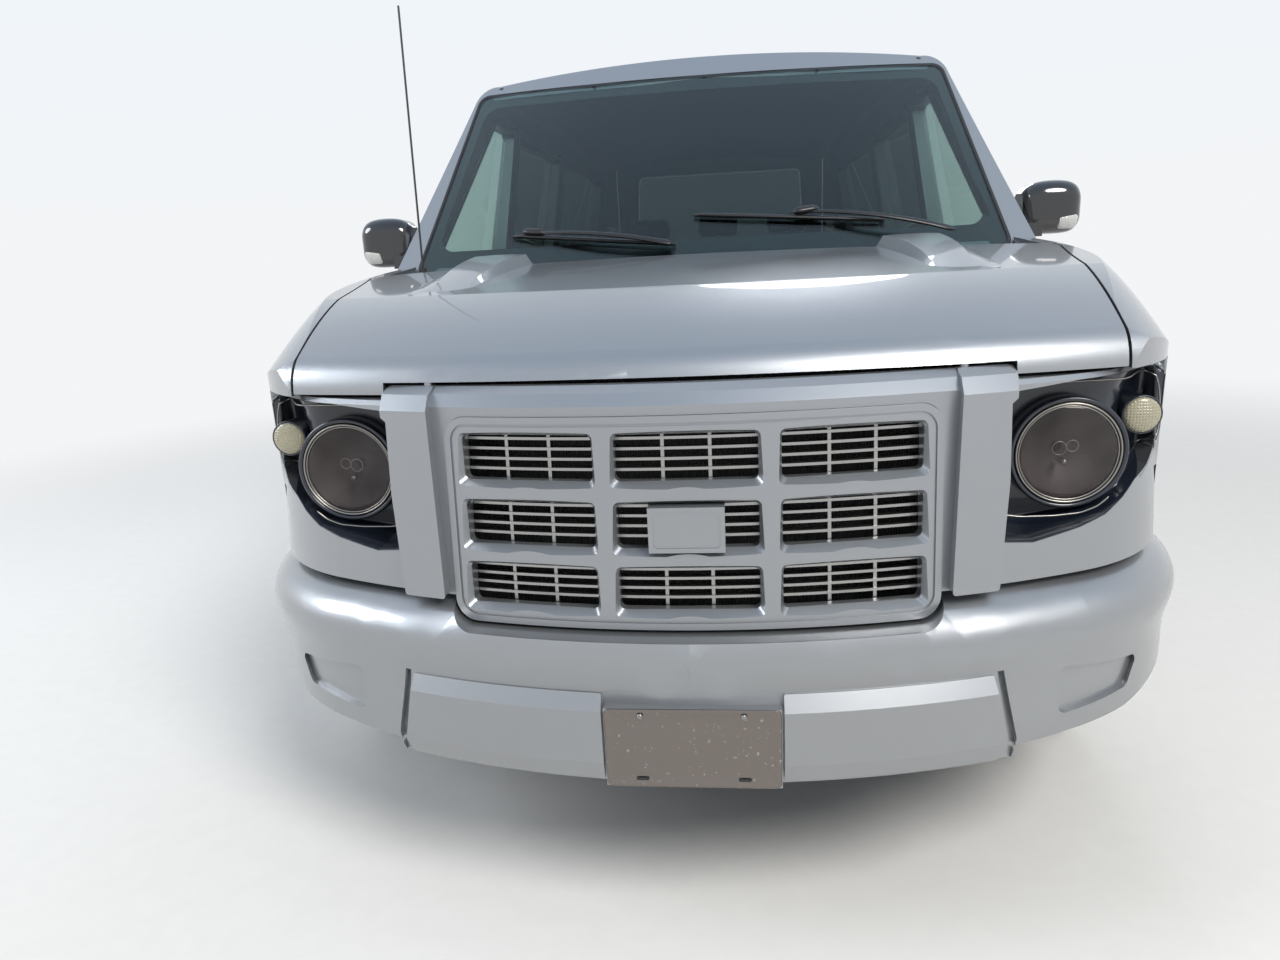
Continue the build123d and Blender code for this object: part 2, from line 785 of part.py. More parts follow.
bar_rows = 4
bar_height = 5
with BuildPart() as grille_bars:
    for z0, z1 in cell_rows:
        for row in range(bar_rows):
            z = z0 + (z1 - z0) * (row + 0.75) / (bar_rows + 0.5)
            near = face(z) + 27
            slat = [(near, z), (near + 16, z), (near + 16, z + bar_height), (near, z + bar_height)]
            add(swept_band(nose_start, nose_radius, nose_corner, slat, 5))
    add(bar((-425, front - 50, 600), (425, back(400), 1000)), mode=Mode.INTERSECT)
    for x0, x1 in cell_columns:
        for share in (1 / 3, 2 / 3):
            x = x0 + (x1 - x0) * share
            post = swept_band(
                nose_start, nose_radius, nose_corner,
                [
                    (face(640) + 30, 640), (face(960) + 30, 960), (face(960) + 40, 960),
                    (face(640) + 40, 640),
                ],
                5,
            )
            add(post & bar((x - 3, front, 640), (x + 3, back(400), 960)))
keep(grille_bars.part, "grille_bars")

# Head lamps: dark housing with a round lamp and a small turn lamp
lamp_band = [(14, 700), (30, 1005), (91.5, 1005), (91.5, 700)]
with BuildPart() as lamp_room:
    with BuildSketch(Plane.XZ.offset(-back(-50))):
        with BuildLine():
            Polyline(lamp_outline, close=True)
        make_face()
        offset(amount=-seat_gap, kind=Kind.INTERSECTION)
    extrude(amount=-(fascia_trail - seat_gap + 50))
with BuildPart() as lamp:
    add(swept_band(nose_start, nose_radius, nose_corner, lamp_band, 5))
    add(lamp_room.part, mode=Mode.INTERSECT)
    with BuildSketch(Plane.XZ.offset(-back(100))):
        with Locations((lamp_x, lamp_z)):
            Circle(lamp_radius + 8)
    extrude(amount=-220, mode=Mode.SUBTRACT)
    with BuildSketch(Plane.XZ.offset(-back(lamp_front))):
        with Locations((lamp_x, lamp_z)):
            Circle(lamp_radius + lamp_rim)
    extrude(amount=-100)
    with BuildSketch(Plane(origin=(lamp_x, back(lamp_front), lamp_z), x_dir=(1, 0, 0), z_dir=(0, 0, 1))):
        with BuildLine():
            Polyline((lamp_radius, 6), (lamp_radius, -20), (0, -20), (0, 72), (20, 70))
            ThreePointArc((20, 70), (68, 48), (lamp_radius, 6))
        make_face()
    revolve(axis=Axis((lamp_x, 0, lamp_z), (0, 1, 0)), mode=Mode.SUBTRACT)
    with BuildSketch(Plane.XZ.offset(-back(turn_front))):
        with Locations((turn_x, turn_z)):
            Circle(turn_radius)
    extrude(amount=-90)
    add(lamp_room.part, mode=Mode.INTERSECT)
keep(both_sides(lamp.part), "headlamps")

# Front bumper: a rolled beam with two bevelled panels, a plate pad and a pocket at each end
bumper_inside = [(28, 335), (60, 335), (60, 560), (110, 600), (110, 650)]
bumper_roll = [(70, 640), (34, 622), (12, 592), (8, 560), (16, 524), (21, 480), (20, 400)]
panel_profile = [(58, 345), (6, 352), (0, 384), (0, 484), (16, 512), (58, 512)]
panel_outline = [(157, 340), (530, 352), (548, 376), (519, 514), (157, 514)]
panel_groove = [(534, 300), (536, 352), (556, 376), (526, 518), (538, 518), (572, 376), (560, 300)]
pocket_outline = [(642, 503), (652, 408), (798, 424), (822, 482)]
pocket_depth = 9
plate_half = 153
plate_depth = 7
with BuildPart() as bumper_front:
    add(swept_band(0, bumper_radius, bumper_corner, bumper_inside, 80, bumper_roll))
    ledge = swept_band(0, bumper_radius, bumper_corner, panel_profile, 80)
    add(both_sides(ledge & front_prism(panel_outline, -50, 400, 6)))
    add(bar((-plate_half, back(plate_depth), 342), (plate_half, back(58), 492)))
    add(front_arch, mode=Mode.SUBTRACT)
    add(mirror(front_arch, about=Plane.YZ, mode=Mode.PRIVATE), mode=Mode.SUBTRACT)
    sunk = [(-20, 300), (-20, 600), (21 + pocket_depth, 600), (21 + pocket_depth, 300)]
    pocket_band = swept_band(0, bumper_radius, bumper_corner, sunk, 80)
    add(both_sides(pocket_band & front_prism(pocket_outline, -50, 500, 14)), mode=Mode.SUBTRACT)
    groove_band = swept_band(
        0, bumper_radius, bumper_corner, [(-20, 290), (-20, 600), (32, 600), (32, 290)], 80,
    )
    add(both_sides(groove_band & front_prism(panel_groove, -50, 400)), mode=Mode.SUBTRACT)
    for side in (-1, 1):
        low_corner = [
            (side * 572, 300), (side * 568, 362), (side * 800, 384), (side * 1100, 462),
            (side * 1100, 300),
        ]
        add(front_prism(low_corner, -50, 900), mode=Mode.SUBTRACT)
        x_pair = sorted((side * 410, side * 470))
        add(bar((x_pair[0], back(100), 425), (x_pair[1], back(215) - seat_gap, 515)))
    add(front_prism([(-438, 606), (438, 606), (438, 700), (-438, 700)], -50, 900, 46), mode=Mode.SUBTRACT)
keep(bumper_front.part, "bumper_front")

# Cowl, inner wings and firewall
pillar_back = 1392
with BuildPart() as cowl:
    add(bar((-520, back(1240), 330), (520, back(1258), 1150)))
    add(bar((-900, back(1240), 830), (900, back(1258), 1150)))
    for side in (-1, 1):
        inner_x = (min(side * 508, side * 519), max(side * 508, side * 519))
        outer_x = (min(side * 508, side * 866), max(side * 508, side * 866))
        add(bar((inner_x[0], back(300), 300), (inner_x[1], back(1258), 990)))
        liner = wheel_arch(front_axle_y, arch_radius_front + 12, outer_x[0], outer_x[1])
        liner = liner - wheel_arch(front_axle_y, arch_radius_front, outer_x[0] - 1, outer_x[1] + 1)
        add(liner & bar((-1000, back(400), 200), (1000, back(1500), 900)))
    top_panel = (clip_in - Pos(0, 0, -44) * clip_in) & bar(
        (-872, back(hood_rear + 10), 1100), (872, back(1500), 1400)
    )
    add(top_panel - screen_block(-8))
    add(bar((-872, back(1150), 1120), (872, back(1258), 1172)))
    for side in (-1, 1):
        x_pair = sorted((side * 500, side * 525))
        add(
            bar((x_pair[0], front_axle_y - 175, 190), (x_pair[1], front_axle_y + 175, 530)),
            mode=Mode.SUBTRACT,
        )
keep(cowl.part, "cowl")

dash_profile = [
    (1258.3, 700), (1258.3, 1146), (1300, 1160), (1540, 1125), (1630, 1060), (1610, 900),
    (1500, 780), (1380, 700),
]
with BuildPart() as dashboard:
    add(side_prism(dash_profile, -880, 880))
    column = Plane(origin=(400, back(1560), 985), z_dir=(0, 0.906, 0.423))
    with BuildSketch(column):
        Circle(24)
    extrude(amount=165 - seat_gap)
keep(dashboard.part, "dashboard")

wheel_plane = Plane(origin=(400, back(1560) + 0.906 * 165, 985 + 0.423 * 165), z_dir=(0, 0.906, 0.423))
with BuildPart() as steering_wheel:
    with BuildSketch(Plane(origin=wheel_plane.origin, x_dir=wheel_plane.z_dir, z_dir=(1, 0, 0))):
        with Locations((18, 180)):
            Circle(15)
    revolve(axis=Axis(wheel_plane.origin, wheel_plane.z_dir))
    with BuildSketch(wheel_plane):
        Circle(62)
        Rectangle(350, 34)
        with Locations((0, -90)):
            Rectangle(34, 170)
    extrude(amount=26)
keep(steering_wheel.part, "steering_wheel")

# Floor with its raised rear deck and rear wheel tubs
deck_lead = 3480
deck_top = 580
within_walls = cabin(door_wall + seat_gap, frame_wall + seat_gap, roof_wall, floor_top)
with BuildPart() as floor:
    add(
        bar(
            (-side_inner + 8, back(deck_lead - 12), floor_top),
            (side_inner - 8, back(deck_lead), deck_top - 1),
        ),
    )
    add(bar((-side_inner + 8, back(deck_lead - 12), deck_top - 40), (side_inner - 8, back(5085), deck_top)))
    for side in (-1, 1):
        x_pair = sorted((side * (wheelhouse_inner_rear - 12), side * (side_inner - 8)))
        add(
            wheel_arch(rear_axle_y, arch_radius_rear + 12, *x_pair)
            & bar((-1100, front, 330), (1100, rear, 900)),
        )
    add(within_walls & tail_block(tail_wall + seat_gap), mode=Mode.INTERSECT)
    add(
        bar(
            (-side_inner + 8, back(1405), floor_top - floor_thickness),
            (side_inner - 8, back(deck_lead), floor_top),
        ),
    )
    add(bar((-500, back(1258) + seat_gap, floor_top - floor_thickness), (500, back(1405), floor_top)))
    for side in (-1, 1):
        x_pair = sorted((side * wheelhouse_inner_rear, side * 1000))
        add(wheel_arch(rear_axle_y, arch_radius_rear, *x_pair), mode=Mode.SUBTRACT)
    add(bar((-760, rear_axle_y - 70, 300), (760, rear_axle_y + 70, tyre_radius + 60)), mode=Mode.SUBTRACT)
keep(floor.part, "floor")

# Ladder frame with the fuel tank, and the exhaust run as (start, end, radius)
exhaust_x = -290
exhaust_z = 243
exhaust_table = [(1010, 2150, 26), (2150, 2780, 44), (2780, 5110, 26)]
cross_stations = [(905, 1010), (2050, 2120), (3200, 3270), (4250, 4310), (4960, 5030)]
rail_side = [
    (215, 420), (215, 520), (480, 520), (760, rail_top), (4700, rail_top), (4900, 360),
    (5059.7, 360), (5059.7, rail_bottom), (730, rail_bottom), (450, 420),
]
with BuildPart() as frame:
    for side in (-1, 1):
        x_pair = sorted((side * rail_inner, side * rail_outer))
        add(side_prism(rail_side, *x_pair))
        for station in (1330, 2300, 3300):
            pad_top = floor_top - floor_thickness
            if station != 3300:
                add(
                    bar(
                        (x_pair[0] + 15, back(station), rail_top),
                        (x_pair[1] - 15, back(station + 80), pad_top),
                    ),
                )
        for station in (3700, 4700):
            add(
                bar(
                    (x_pair[0] + 15, back(station), rail_top),
                    (x_pair[1] - 15, back(station + 80), deck_top - 40),
                ),
            )
    add(bar((-rail_inner, back(240), 430), (rail_inner, back(300), 510)))
    for near, far in cross_stations:
        add(bar((-rail_inner, back(near), rail_bottom + 10), (rail_inner, back(far), rail_top - 10)))
    with BuildSketch(Plane.XZ.offset(-back(1900))):
        with Locations((0, 250)):
            Circle(42)
    extrude(amount=-1700, mode=Mode.SUBTRACT)
    with BuildSketch(Plane.XZ.offset(-back(2120))) as tank_end:
        with Locations((235, 238)):
            RectangleRounded(290, 92, 30)
    extrude(amount=-1080)
    for near, far, radius in exhaust_table:
        with BuildSketch(Plane.XZ.offset(-back(near))):
            with Locations((exhaust_x, exhaust_z)):
                Circle(radius)
        extrude(amount=-(far - near))
    with BuildSketch(Plane.XY.offset(rail_bottom)):
        with Locations((0, back(4995))):
            with GridLocations(hitch_spacing_x, hitch_spacing_y, 2, 2):
                Circle(hitch_hole)
    extrude(amount=200, mode=Mode.SUBTRACT)
keep(frame.part, "frame")

with BuildPart() as engine:
    add(bar((-290, back(380), 330), (290, back(1120), 930)))
    add(bar((-120, back(1100), floor_top - floor_thickness), (120, back(1236), 560)))
    add(bar((-60, back(930), rail_top - 10 + seat_gap), (60, back(985), 332)))
keep(engine.part, "engine")

shaft_break = 3400
pinion_reach = 150
shaft_start = Vector(0, back(shaft_break), 250)
shaft_way = Vector(0, rear_axle_y, tyre_radius) - shaft_start
shaft_length = shaft_way.length
shaft_rear = Plane(origin=shaft_start, z_dir=shaft_way)
with BuildPart() as driveline:
    add(bar((-110, back(1130), 205), (110, back(2030), floor_top - floor_thickness - seat_gap)))
    with BuildSketch(Plane.XZ.offset(-back(2030))):
        with Locations((0, 250)):
            Circle(34)
    extrude(amount=-(shaft_break - 2030))
    with BuildSketch(shaft_rear):
        Circle(34)
    extrude(amount=shaft_length - pinion_reach)
    with Locations((0, back(shaft_break), 250)):
        Sphere(38)
keep(driveline.part, "driveline")

# Front suspension: arms from the frame to each knuckle
with BuildPart() as suspension_front:
    for side in (-1, 1):
        with BuildSketch(Plane.XY.offset(236)):
            with BuildLine():
                Polyline(
                    [
                        (side * rail_outer, front_axle_y - 150),
                        (side * rail_outer, front_axle_y + 150),
                        (side * (kingpin_half + 8), front_axle_y + 26),
                        (side * (kingpin_half + 8), front_axle_y - 26),
                    ],
                    close=True,
                )
            make_face()
        extrude(amount=22)
        with BuildSketch(Plane.XY.offset(478)):
            with BuildLine():
                Polyline(
                    [
                        (side * 500, front_axle_y - 90),
                        (side * 500, front_axle_y + 90),
                        (side * (kingpin_half + 8), front_axle_y + 22),
                        (side * (kingpin_half + 8), front_axle_y - 22),
                    ],
                    close=True,
                )
            make_face()
        extrude(amount=18)
        x_pair = sorted((side * rail_outer, side * 507))
        add(bar((x_pair[0], front_axle_y - 60, 258), (x_pair[1], front_axle_y + 60, 496)))
keep(suspension_front.part, "suspension_front")

spindle_radius = 30
hub_radius = 64
with BuildPart() as knuckle:
    add(
        bar(
            (kingpin_half - 12, front_axle_y - 34, 258 + seat_gap),
            (kingpin_half + 14, front_axle_y + 34, 478 - seat_gap),
        ),
    )
    with BuildSketch(Plane.YZ.offset(kingpin_half + 14)):
        with Locations((front_axle_y, tyre_radius)):
            Circle(spindle_radius)
    extrude(amount=96)
keep(knuckle.part, "knuckle_left")
keep(other_side(knuckle.part), "knuckle_right")

with BuildPart() as axle_rear:
    with BuildSketch(Plane.YZ.offset(-728)):
        with Locations((rear_axle_y, tyre_radius)):
            Circle(42)
    extrude(amount=1456)
    with BuildSketch(Plane.YZ.offset(-track_half - 15)):
        with Locations((rear_axle_y, tyre_radius)):
            Circle(spindle_radius)
    extrude(amount=2 * (track_half + 15))
    with BuildSketch(Plane(origin=(0, rear_axle_y, tyre_radius), x_dir=(1, 0, 0), z_dir=(0, 0, 1))):
        with BuildLine():
            ThreePointArc((-120, 0), (0, 130), (120, 0))
            Line((120, 0), (-120, 0))
        make_face()
    revolve(axis=Axis((0, rear_axle_y, tyre_radius), (1, 0, 0)))
    for side in (-1, 1):
        x_pair = sorted((side * 530, side * 590))
        add(
            side_prism(
                [(3500, 297), (3901, 300), (4430, 297), (4430, 322), (3901, 340), (3500, 322)],
                *x_pair,
            ),
        )
    with BuildSketch(
        Plane(
            origin=shaft_start + shaft_way * ((shaft_length - pinion_reach + seat_gap) / shaft_length),
            z_dir=shaft_way,
        ),
    ):
        Circle(44)
    extrude(amount=pinion_reach - 20)
keep(axle_rear.part, "axle_rear")


# Rim face: profile (distance outboard of the track line, radius) and its windows
face_profile = [
    (20, spindle_radius + seat_gap),
    (54, spindle_radius + seat_gap),
    (54, 60),
    (42, 76),
    (34, 150),
    (50, 198),
    (32, 198),
    (20, 150),
    (22, 80),
]
spoke_count = 7
window_ring = 138
window_long = 92
window_wide = 66
window_corner_radius = 24


def wheel(axle_y):
    """A tyre and its rim on the driver's side, about the axle line of that wheel."""
    centre = Plane(origin=(track_half, axle_y, tyre_radius), x_dir=(1, 0, 0), z_dir=(0, -1, 0))
    spin = Axis((track_half, axle_y, tyre_radius), (1, 0, 0))
    half = tyre_width / 2
    bead = rim_radius + 8
    with BuildPart() as tyre:
        with BuildSketch(centre):
            with BuildLine():
                crown = tyre_radius
                shoulder = (half - 22, crown - 8)
                Line((-half + 22, crown - 8), (0, crown))
                Line((0, crown), shoulder)
                ThreePointArc(shoulder, (half, crown - 62), (half - 16, bead))
                Line((half - 16, bead), (half - 40, bead))
                Line((half - 40, bead), (half - 36, crown - 36))
                Line((half - 36, crown - 36), (-half + 36, crown - 36))
                Line((-half + 36, crown - 36), (-half + 40, bead))
                Line((-half + 40, bead), (-half + 16, bead))
                ThreePointArc((-half + 16, bead), (-half, crown - 62), (-half + 22, crown - 8))
            make_face()
        revolve(axis=spin)
    lip = rim_width / 2
    with BuildPart() as rim:
        with BuildSketch(centre):
            with BuildLine():
                Polyline(
                    [
                        (-lip, bead - 0.5),
                        (-lip + 12, bead - 0.5),
                        (-lip + 30, rim_radius - 20),
                        (lip - 30, rim_radius - 20),
                        (lip - 12, bead - 0.5),
                        (lip, bead - 0.5),
                        (lip, bead - 10),
                        (lip - 20, rim_radius - 32),
                        (-lip + 20, rim_radius - 32),
                        (-lip, bead - 10),
                    ],
                    close=True,
                )
            make_face()
        revolve(axis=spin)
        with BuildSketch(centre):
            with BuildLine():
                Polyline(face_profile, close=True)
            make_face()
        revolve(axis=spin)
        with BuildSketch(Plane.YZ.offset(track_half + 8)):
            with Locations((axle_y, tyre_radius)):
                with PolarLocations(window_ring, spoke_count):
                    RectangleRounded(window_long, window_wide, window_corner_radius)
        extrude(amount=60, mode=Mode.SUBTRACT)
        with BuildSketch(Plane.YZ.offset(track_half - 48)):
            with Locations((axle_y, tyre_radius)):
                Circle(hub_radius)
                Circle(spindle_radius + 0.3, mode=Mode.SUBTRACT)
        extrude(amount=70)
    return tyre.part, rim.part


for place, axle_y in (("front", front_axle_y), ("rear", rear_axle_y)):
    tyre, rim = wheel(axle_y)
    keep(tyre, f"tyre_{place}_left")
    keep(rim, f"rim_{place}_left")
    keep(other_side(tyre), f"tyre_{place}_right")
    keep(other_side(rim), f"rim_{place}_right")

# Tail lamps fill their pockets in the rear corners
with BuildPart() as tail_lamp:
    add(outer)
    add(
        bar((gate_half + 22.5, back(5080) + 0.5, 900.5), (body_half + 50, rear + 50, 1459.5)),
        mode=Mode.INTERSECT,
    )
    add(inner, mode=Mode.SUBTRACT)
keep(both_sides(tail_lamp.part), "tail_lamps")

# Seats: the driver's seat and the rear bench, each a cushion and a back on a pedestal
seat_edge = 40
with BuildPart() as seats:
    for low, high in (
        ((150, back(1950), 560), (650, back(2440), 700)),
        ((160, back(2330), 700), (640, back(2470), 1290)),
        ((-640, back(3800), 800), (640, back(4250), 950)),
        ((-640, back(4180), 950), (640, back(4320), 1480)),
    ):
        cushion = bar(low, high)
        add(cushion.fillet(seat_edge, cushion.edges()))
    add(bar((200, back(2000), floor_top), (600, back(2400), 560)))
    add(bar((-600, back(3850), deck_top), (600, back(4200), 800)))
keep(seats.part, "seats")

# Door mirrors. Columns of the cap's sections: distance from the middle, depth, height, drop.
mirror_table = [
    (972, 92, 104, 6),
    (1000, 138, 146, 2),
    (1070, 150, 158, 0),
    (1118, 134, 144, 2),
    (1142, 88, 100, 4),
]
with BuildPart() as mirror_left:
    for x, wide, tall, drop in mirror_table:
        with BuildSketch(Plane.YZ.offset(x)):
            with Locations((back(1600), 1330 - drop)):
                RectangleRounded(wide, tall, min(wide, tall) * 0.32)
    loft()
    add(bar((930, back(1450), 1245), (1000, back(1560), 1285)))
    add(cabin(-seat_gap, -seat_gap, 0, 0), mode=Mode.SUBTRACT)
keep(mirror_left.part, "mirror_left")
keep(other_side(mirror_left.part), "mirror_right")

# Wipers lie in a thin layer over the windshield
wiper_layer = screen_block(-12) - screen_block(0)
with BuildPart() as wipers:
    for arm in (
        [(-80, 1236), (-78, 1248), (-500, 1316), (-502, 1302)],
        [(620, 1240), (622, 1254), (300, 1338), (298, 1322)],
        [(-530, 1308), (-528, 1322), (-90, 1262), (-92, 1250)],
        [(-30, 1330), (-28, 1342), (560, 1312), (558, 1300)],
    ):
        add(wiper_layer & front_prism(arm, 900, 2300))
keep(wipers.part, "wipers")

# Rear bumper
with BuildPart() as bumper_rear:
    add(bar((-995, back(5060), 330), (995, rear, 514)))
    with BuildSketch(Plane.XY) as plan:
        with BuildLine():
            Line((-995, back(5000)), (995, back(5000)))
            Line((995, back(5000)), (995, rear - 60))
            ThreePointArc((995, rear - 60), (0, rear), (-995, rear - 60))
            Line((-995, rear - 60), (-995, back(5000)))
        make_face()
        fillet(plan.vertices().group_by(Axis.Y)[-1], 90)
    extrude(amount=1000, mode=Mode.INTERSECT)
keep(bumper_rear.part, "bumper_rear")

# Ramp that slides out under the floor on the passenger's side
ramp_near = 2500
ramp_far = 3390
ramp_low = rail_top + seat_gap
ramp_high = floor_top - floor_thickness - 2
with BuildPart() as ramp:
    add(bar((-918, back(ramp_near), ramp_low), (250, back(ramp_far), ramp_high)))
keep(ramp.part, "ramp")

# Aerial on the cowl at the passenger's side
antenna_foot = (-830, back(1238), 1190)
with BuildPart() as antenna:
    with BuildSketch(Plane(origin=antenna_foot, z_dir=(0.012, 0.01, 1))):
        Circle(3)
    extrude(amount=760)
    with BuildSketch(Plane.XY.offset(antenna_foot[2])):
        with Locations((antenna_foot[0], antenna_foot[1])):
            Circle(11)
    extrude(amount=52)
    add([cowl.part, Pos(0, 0, seat_gap) * cowl.part], mode=Mode.SUBTRACT)
keep(max(antenna.part.solids(), key=lambda piece: piece.volume), "antenna")
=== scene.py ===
"""Looks for a silver wheelchair accessible van. Metres, in the frame of the CAD model:
origin on the ground under the middle, nose towards -Y, driver's side towards +X.
"""
import math

import bpy
import numpy as np
from mathutils import Matrix, Vector
from mathutils.bvhtree import BVHTree


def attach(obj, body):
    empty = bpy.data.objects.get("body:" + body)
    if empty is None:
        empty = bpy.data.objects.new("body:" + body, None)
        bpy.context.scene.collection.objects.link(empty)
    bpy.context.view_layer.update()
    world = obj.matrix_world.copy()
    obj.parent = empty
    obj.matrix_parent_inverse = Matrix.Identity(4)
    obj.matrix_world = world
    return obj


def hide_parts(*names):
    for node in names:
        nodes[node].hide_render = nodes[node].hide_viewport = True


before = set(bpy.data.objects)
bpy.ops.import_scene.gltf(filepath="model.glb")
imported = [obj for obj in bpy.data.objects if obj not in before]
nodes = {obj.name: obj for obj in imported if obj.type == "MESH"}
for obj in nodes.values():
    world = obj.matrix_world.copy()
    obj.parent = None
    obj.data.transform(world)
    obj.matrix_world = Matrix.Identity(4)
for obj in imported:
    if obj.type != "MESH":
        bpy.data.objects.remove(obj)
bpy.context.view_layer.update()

# Stand, camera and light. The camera stands near the nose at chest height, a little to
# the driver's side, and looks slightly down. The floor is a plain pale sheet.
half_length = 5.207 / 2


def behind(distance):
    """Station on Y at this distance behind the foremost plane of the van."""
    return distance - half_length


yaw, pitch, roll = math.radians(6.68), math.radians(14.44), math.radians(-2.89)
ahead = Vector((
    -math.sin(yaw) * math.cos(pitch), math.cos(yaw) * math.cos(pitch), -math.sin(pitch),
))
level = Vector((math.cos(yaw), math.sin(yaw), 0))
upward = level.cross(ahead)
right = level * math.cos(roll) + upward * math.sin(roll)
up = upward * math.cos(roll) - level * math.sin(roll)
eye = Vector((0.086, behind(-1.308), 1.238))
scene = bpy.context.scene
camera_data = bpy.data.cameras.new("camera")
camera_data.lens = 24.13
camera_data.sensor_width = 36
camera = bpy.data.objects.new("camera", camera_data)
scene.collection.objects.link(camera)
camera.matrix_world = Matrix(
    [[right[i], up[i], -ahead[i], eye[i]] for i in range(3)] + [[0, 0, 0, 1]]
)
scene.camera = camera
scene.view_settings.view_transform = "Standard"


def surface(name, points, faces, smooth=True):
    """A mesh object with its place in its vertices, made from arrays of points and faces."""
    mesh = bpy.data.meshes.new(name)
    mesh.from_pydata(points.tolist(), [], faces if isinstance(faces, list) else faces.tolist())
    mesh.update()
    mesh.polygons.foreach_set("use_smooth", np.full(len(mesh.polygons), smooth))
    thing = bpy.data.objects.new(name, mesh)
    scene.collection.objects.link(thing)
    return thing


def shader_of(material):
    """The material's Principled shader."""
    return material.node_tree.nodes["Principled BSDF"]


def finish(name, colour, metallic=0.0, roughness=0.5, **sockets):
    """A new material with one Principled shader, its plain values set on its own sockets."""
    material = bpy.data.materials.new(name)
    material.use_nodes = True
    shader = shader_of(material)
    shader.inputs["Base Color"].default_value = (*colour, 1)
    shader.inputs["Metallic"].default_value = metallic
    shader.inputs["Roughness"].default_value = roughness
    for socket, value in sockets.items():
        shader.inputs[socket.replace("_", " ")].default_value = value
    material.diffuse_color = (*colour, 1)
    return material


def place(owner, kind, **values):
    """Adds a node of this kind to a material, world or group and sets its named inputs or
    properties."""
    node = getattr(owner, "node_tree", owner).nodes.new(kind)
    for key, value in values.items():
        if hasattr(node, key):
            setattr(node, key, value)
        else:
            node.inputs[key.replace("_", " ")].default_value = value
    return node


def join(owner, *links):
    """Joins nodes of a material, world or group. Each link is a node, its output, the next
    node and its input."""
    for from_node, output, to_node, socket in links:
        getattr(owner, "node_tree", owner).links.new(from_node.outputs[output], to_node.inputs[socket])


def on_object(material, kind, **values):
    """A texture node that reads Object coordinates."""
    texture = place(material, kind, **values)
    join(material, (place(material, "ShaderNodeTexCoord"), "Object", texture, "Vector"))
    return texture


def tinted(material, texture, *stops):
    """Colours the material by a texture: each stop is a place on the ramp and its colour."""
    ramp = place(material, "ShaderNodeValToRGB")
    for stop, (at, colour) in zip(ramp.color_ramp.elements, stops):
        stop.position, stop.color = at, (*colour, 1)
    join(
        material,
        (texture, "Fac", ramp, "Fac"),
        (ramp, "Color", shader_of(material), "Base Color"),
    )


floor_half = 30
ground = np.array([
    (-floor_half, -floor_half, 0), (floor_half, -floor_half, 0),
    (floor_half, floor_half, 0), (-floor_half, floor_half, 0),
], float)
floor_sheet = surface("studio_floor", ground, np.array([[0, 1, 2, 3]]), smooth=False)
pale = finish("studio_pale", (0.80, 0.80, 0.79), roughness=0.9)
grain = on_object(pale, "ShaderNodeTexNoise", Scale=18.0, Detail=4.0)
tinted(pale, grain, (0.0, (0.78, 0.78, 0.775)), (1.0, (0.83, 0.83, 0.82)))
# Far from the van the floor runs out into an even white, so that no horizon shows.
studio_white = (0.90, 0.91, 0.92, 1)
reach = on_object(pale, "ShaderNodeVectorMath", operation="LENGTH")
fade = place(pale, "ShaderNodeMapRange", interpolation_type="SMOOTHSTEP", From_Min=2.6, From_Max=6.2)
blank = place(pale, "ShaderNodeEmission", Color=studio_white, Strength=1.0)
blend = place(pale, "ShaderNodeMixShader")
join(
    pale,
    (reach, "Value", fade, "Value"),
    (fade, "Result", blend, 0),
    (shader_of(pale), 0, blend, 1),
    (blank, 0, blend, 2),
    (blend, 0, pale.node_tree.nodes["Material Output"], "Surface"),
)
floor_sheet.data.materials.append(pale)

world = bpy.data.worlds.new("studio")
scene.world = world
world.use_nodes = True
world.node_tree.nodes.clear()
seen = place(world, "ShaderNodeBackground", Strength=1.0)
lit = place(world, "ShaderNodeBackground", Color=(0.90, 0.95, 1.0, 1), Strength=0.42)
paths = place(world, "ShaderNodeLightPath")
either = place(world, "ShaderNodeMath", operation="MAXIMUM")
any_ray = place(world, "ShaderNodeMath", operation="MAXIMUM")
mixer = place(world, "ShaderNodeMixShader")
sky_out = place(world, "ShaderNodeOutputWorld")
height_split = place(world, "ShaderNodeSeparateXYZ")
direction = place(world, "ShaderNodeTexCoord")
sky_ramp = place(world, "ShaderNodeValToRGB")
stops = sky_ramp.color_ramp.elements
stops[0].position, stops[0].color = 0.0, studio_white
stops[1].position, stops[1].color = 1.0, (0.52, 0.66, 0.86, 1)
stops.new(0.35).color = (0.86, 0.91, 0.97, 1)
join(
    world,
    (direction, "Generated", height_split, 0),
    (height_split, "Z", sky_ramp, "Fac"),
    (sky_ramp, "Color", seen, "Color"),
    (paths, "Is Camera Ray", either, 0),
    (paths, "Is Glossy Ray", either, 1),
    (either, 0, any_ray, 0),
    (paths, "Is Transmission Ray", any_ray, 1),
    (any_ray, 0, mixer, 0),
    (lit, 0, mixer, 1),
    (seen, 0, mixer, 2),
    (mixer, 0, sky_out, 0),
)

for label, spot, aim, width, power, tint in (
    ("key", (3.6, -6.5, 6.2), (0.2, -1.6, 0.8), 3.4, 520, (1.0, 0.97, 0.92)),
    ("side", (-6.0, -3.0, 4.0), (0, -0.5, 0.9), 3.0, 190, (0.92, 0.96, 1.0)),
    ("rear", (1.0, 7.0, 5.0), (0, 1.0, 1.0), 3.0, 200, (0.95, 0.97, 1.0)),
):
    lamp_data = bpy.data.lights.new(label, "AREA")
    lamp_data.shape = "DISK"
    lamp_data.size = width
    lamp_data.energy = power
    lamp_data.color = tint
    lamp = bpy.data.objects.new(label, lamp_data)
    scene.collection.objects.link(lamp)
    lamp.location = spot
    lamp.rotation_euler = (Vector(aim) - Vector(spot)).to_track_quat("-Z", "Y").to_euler()

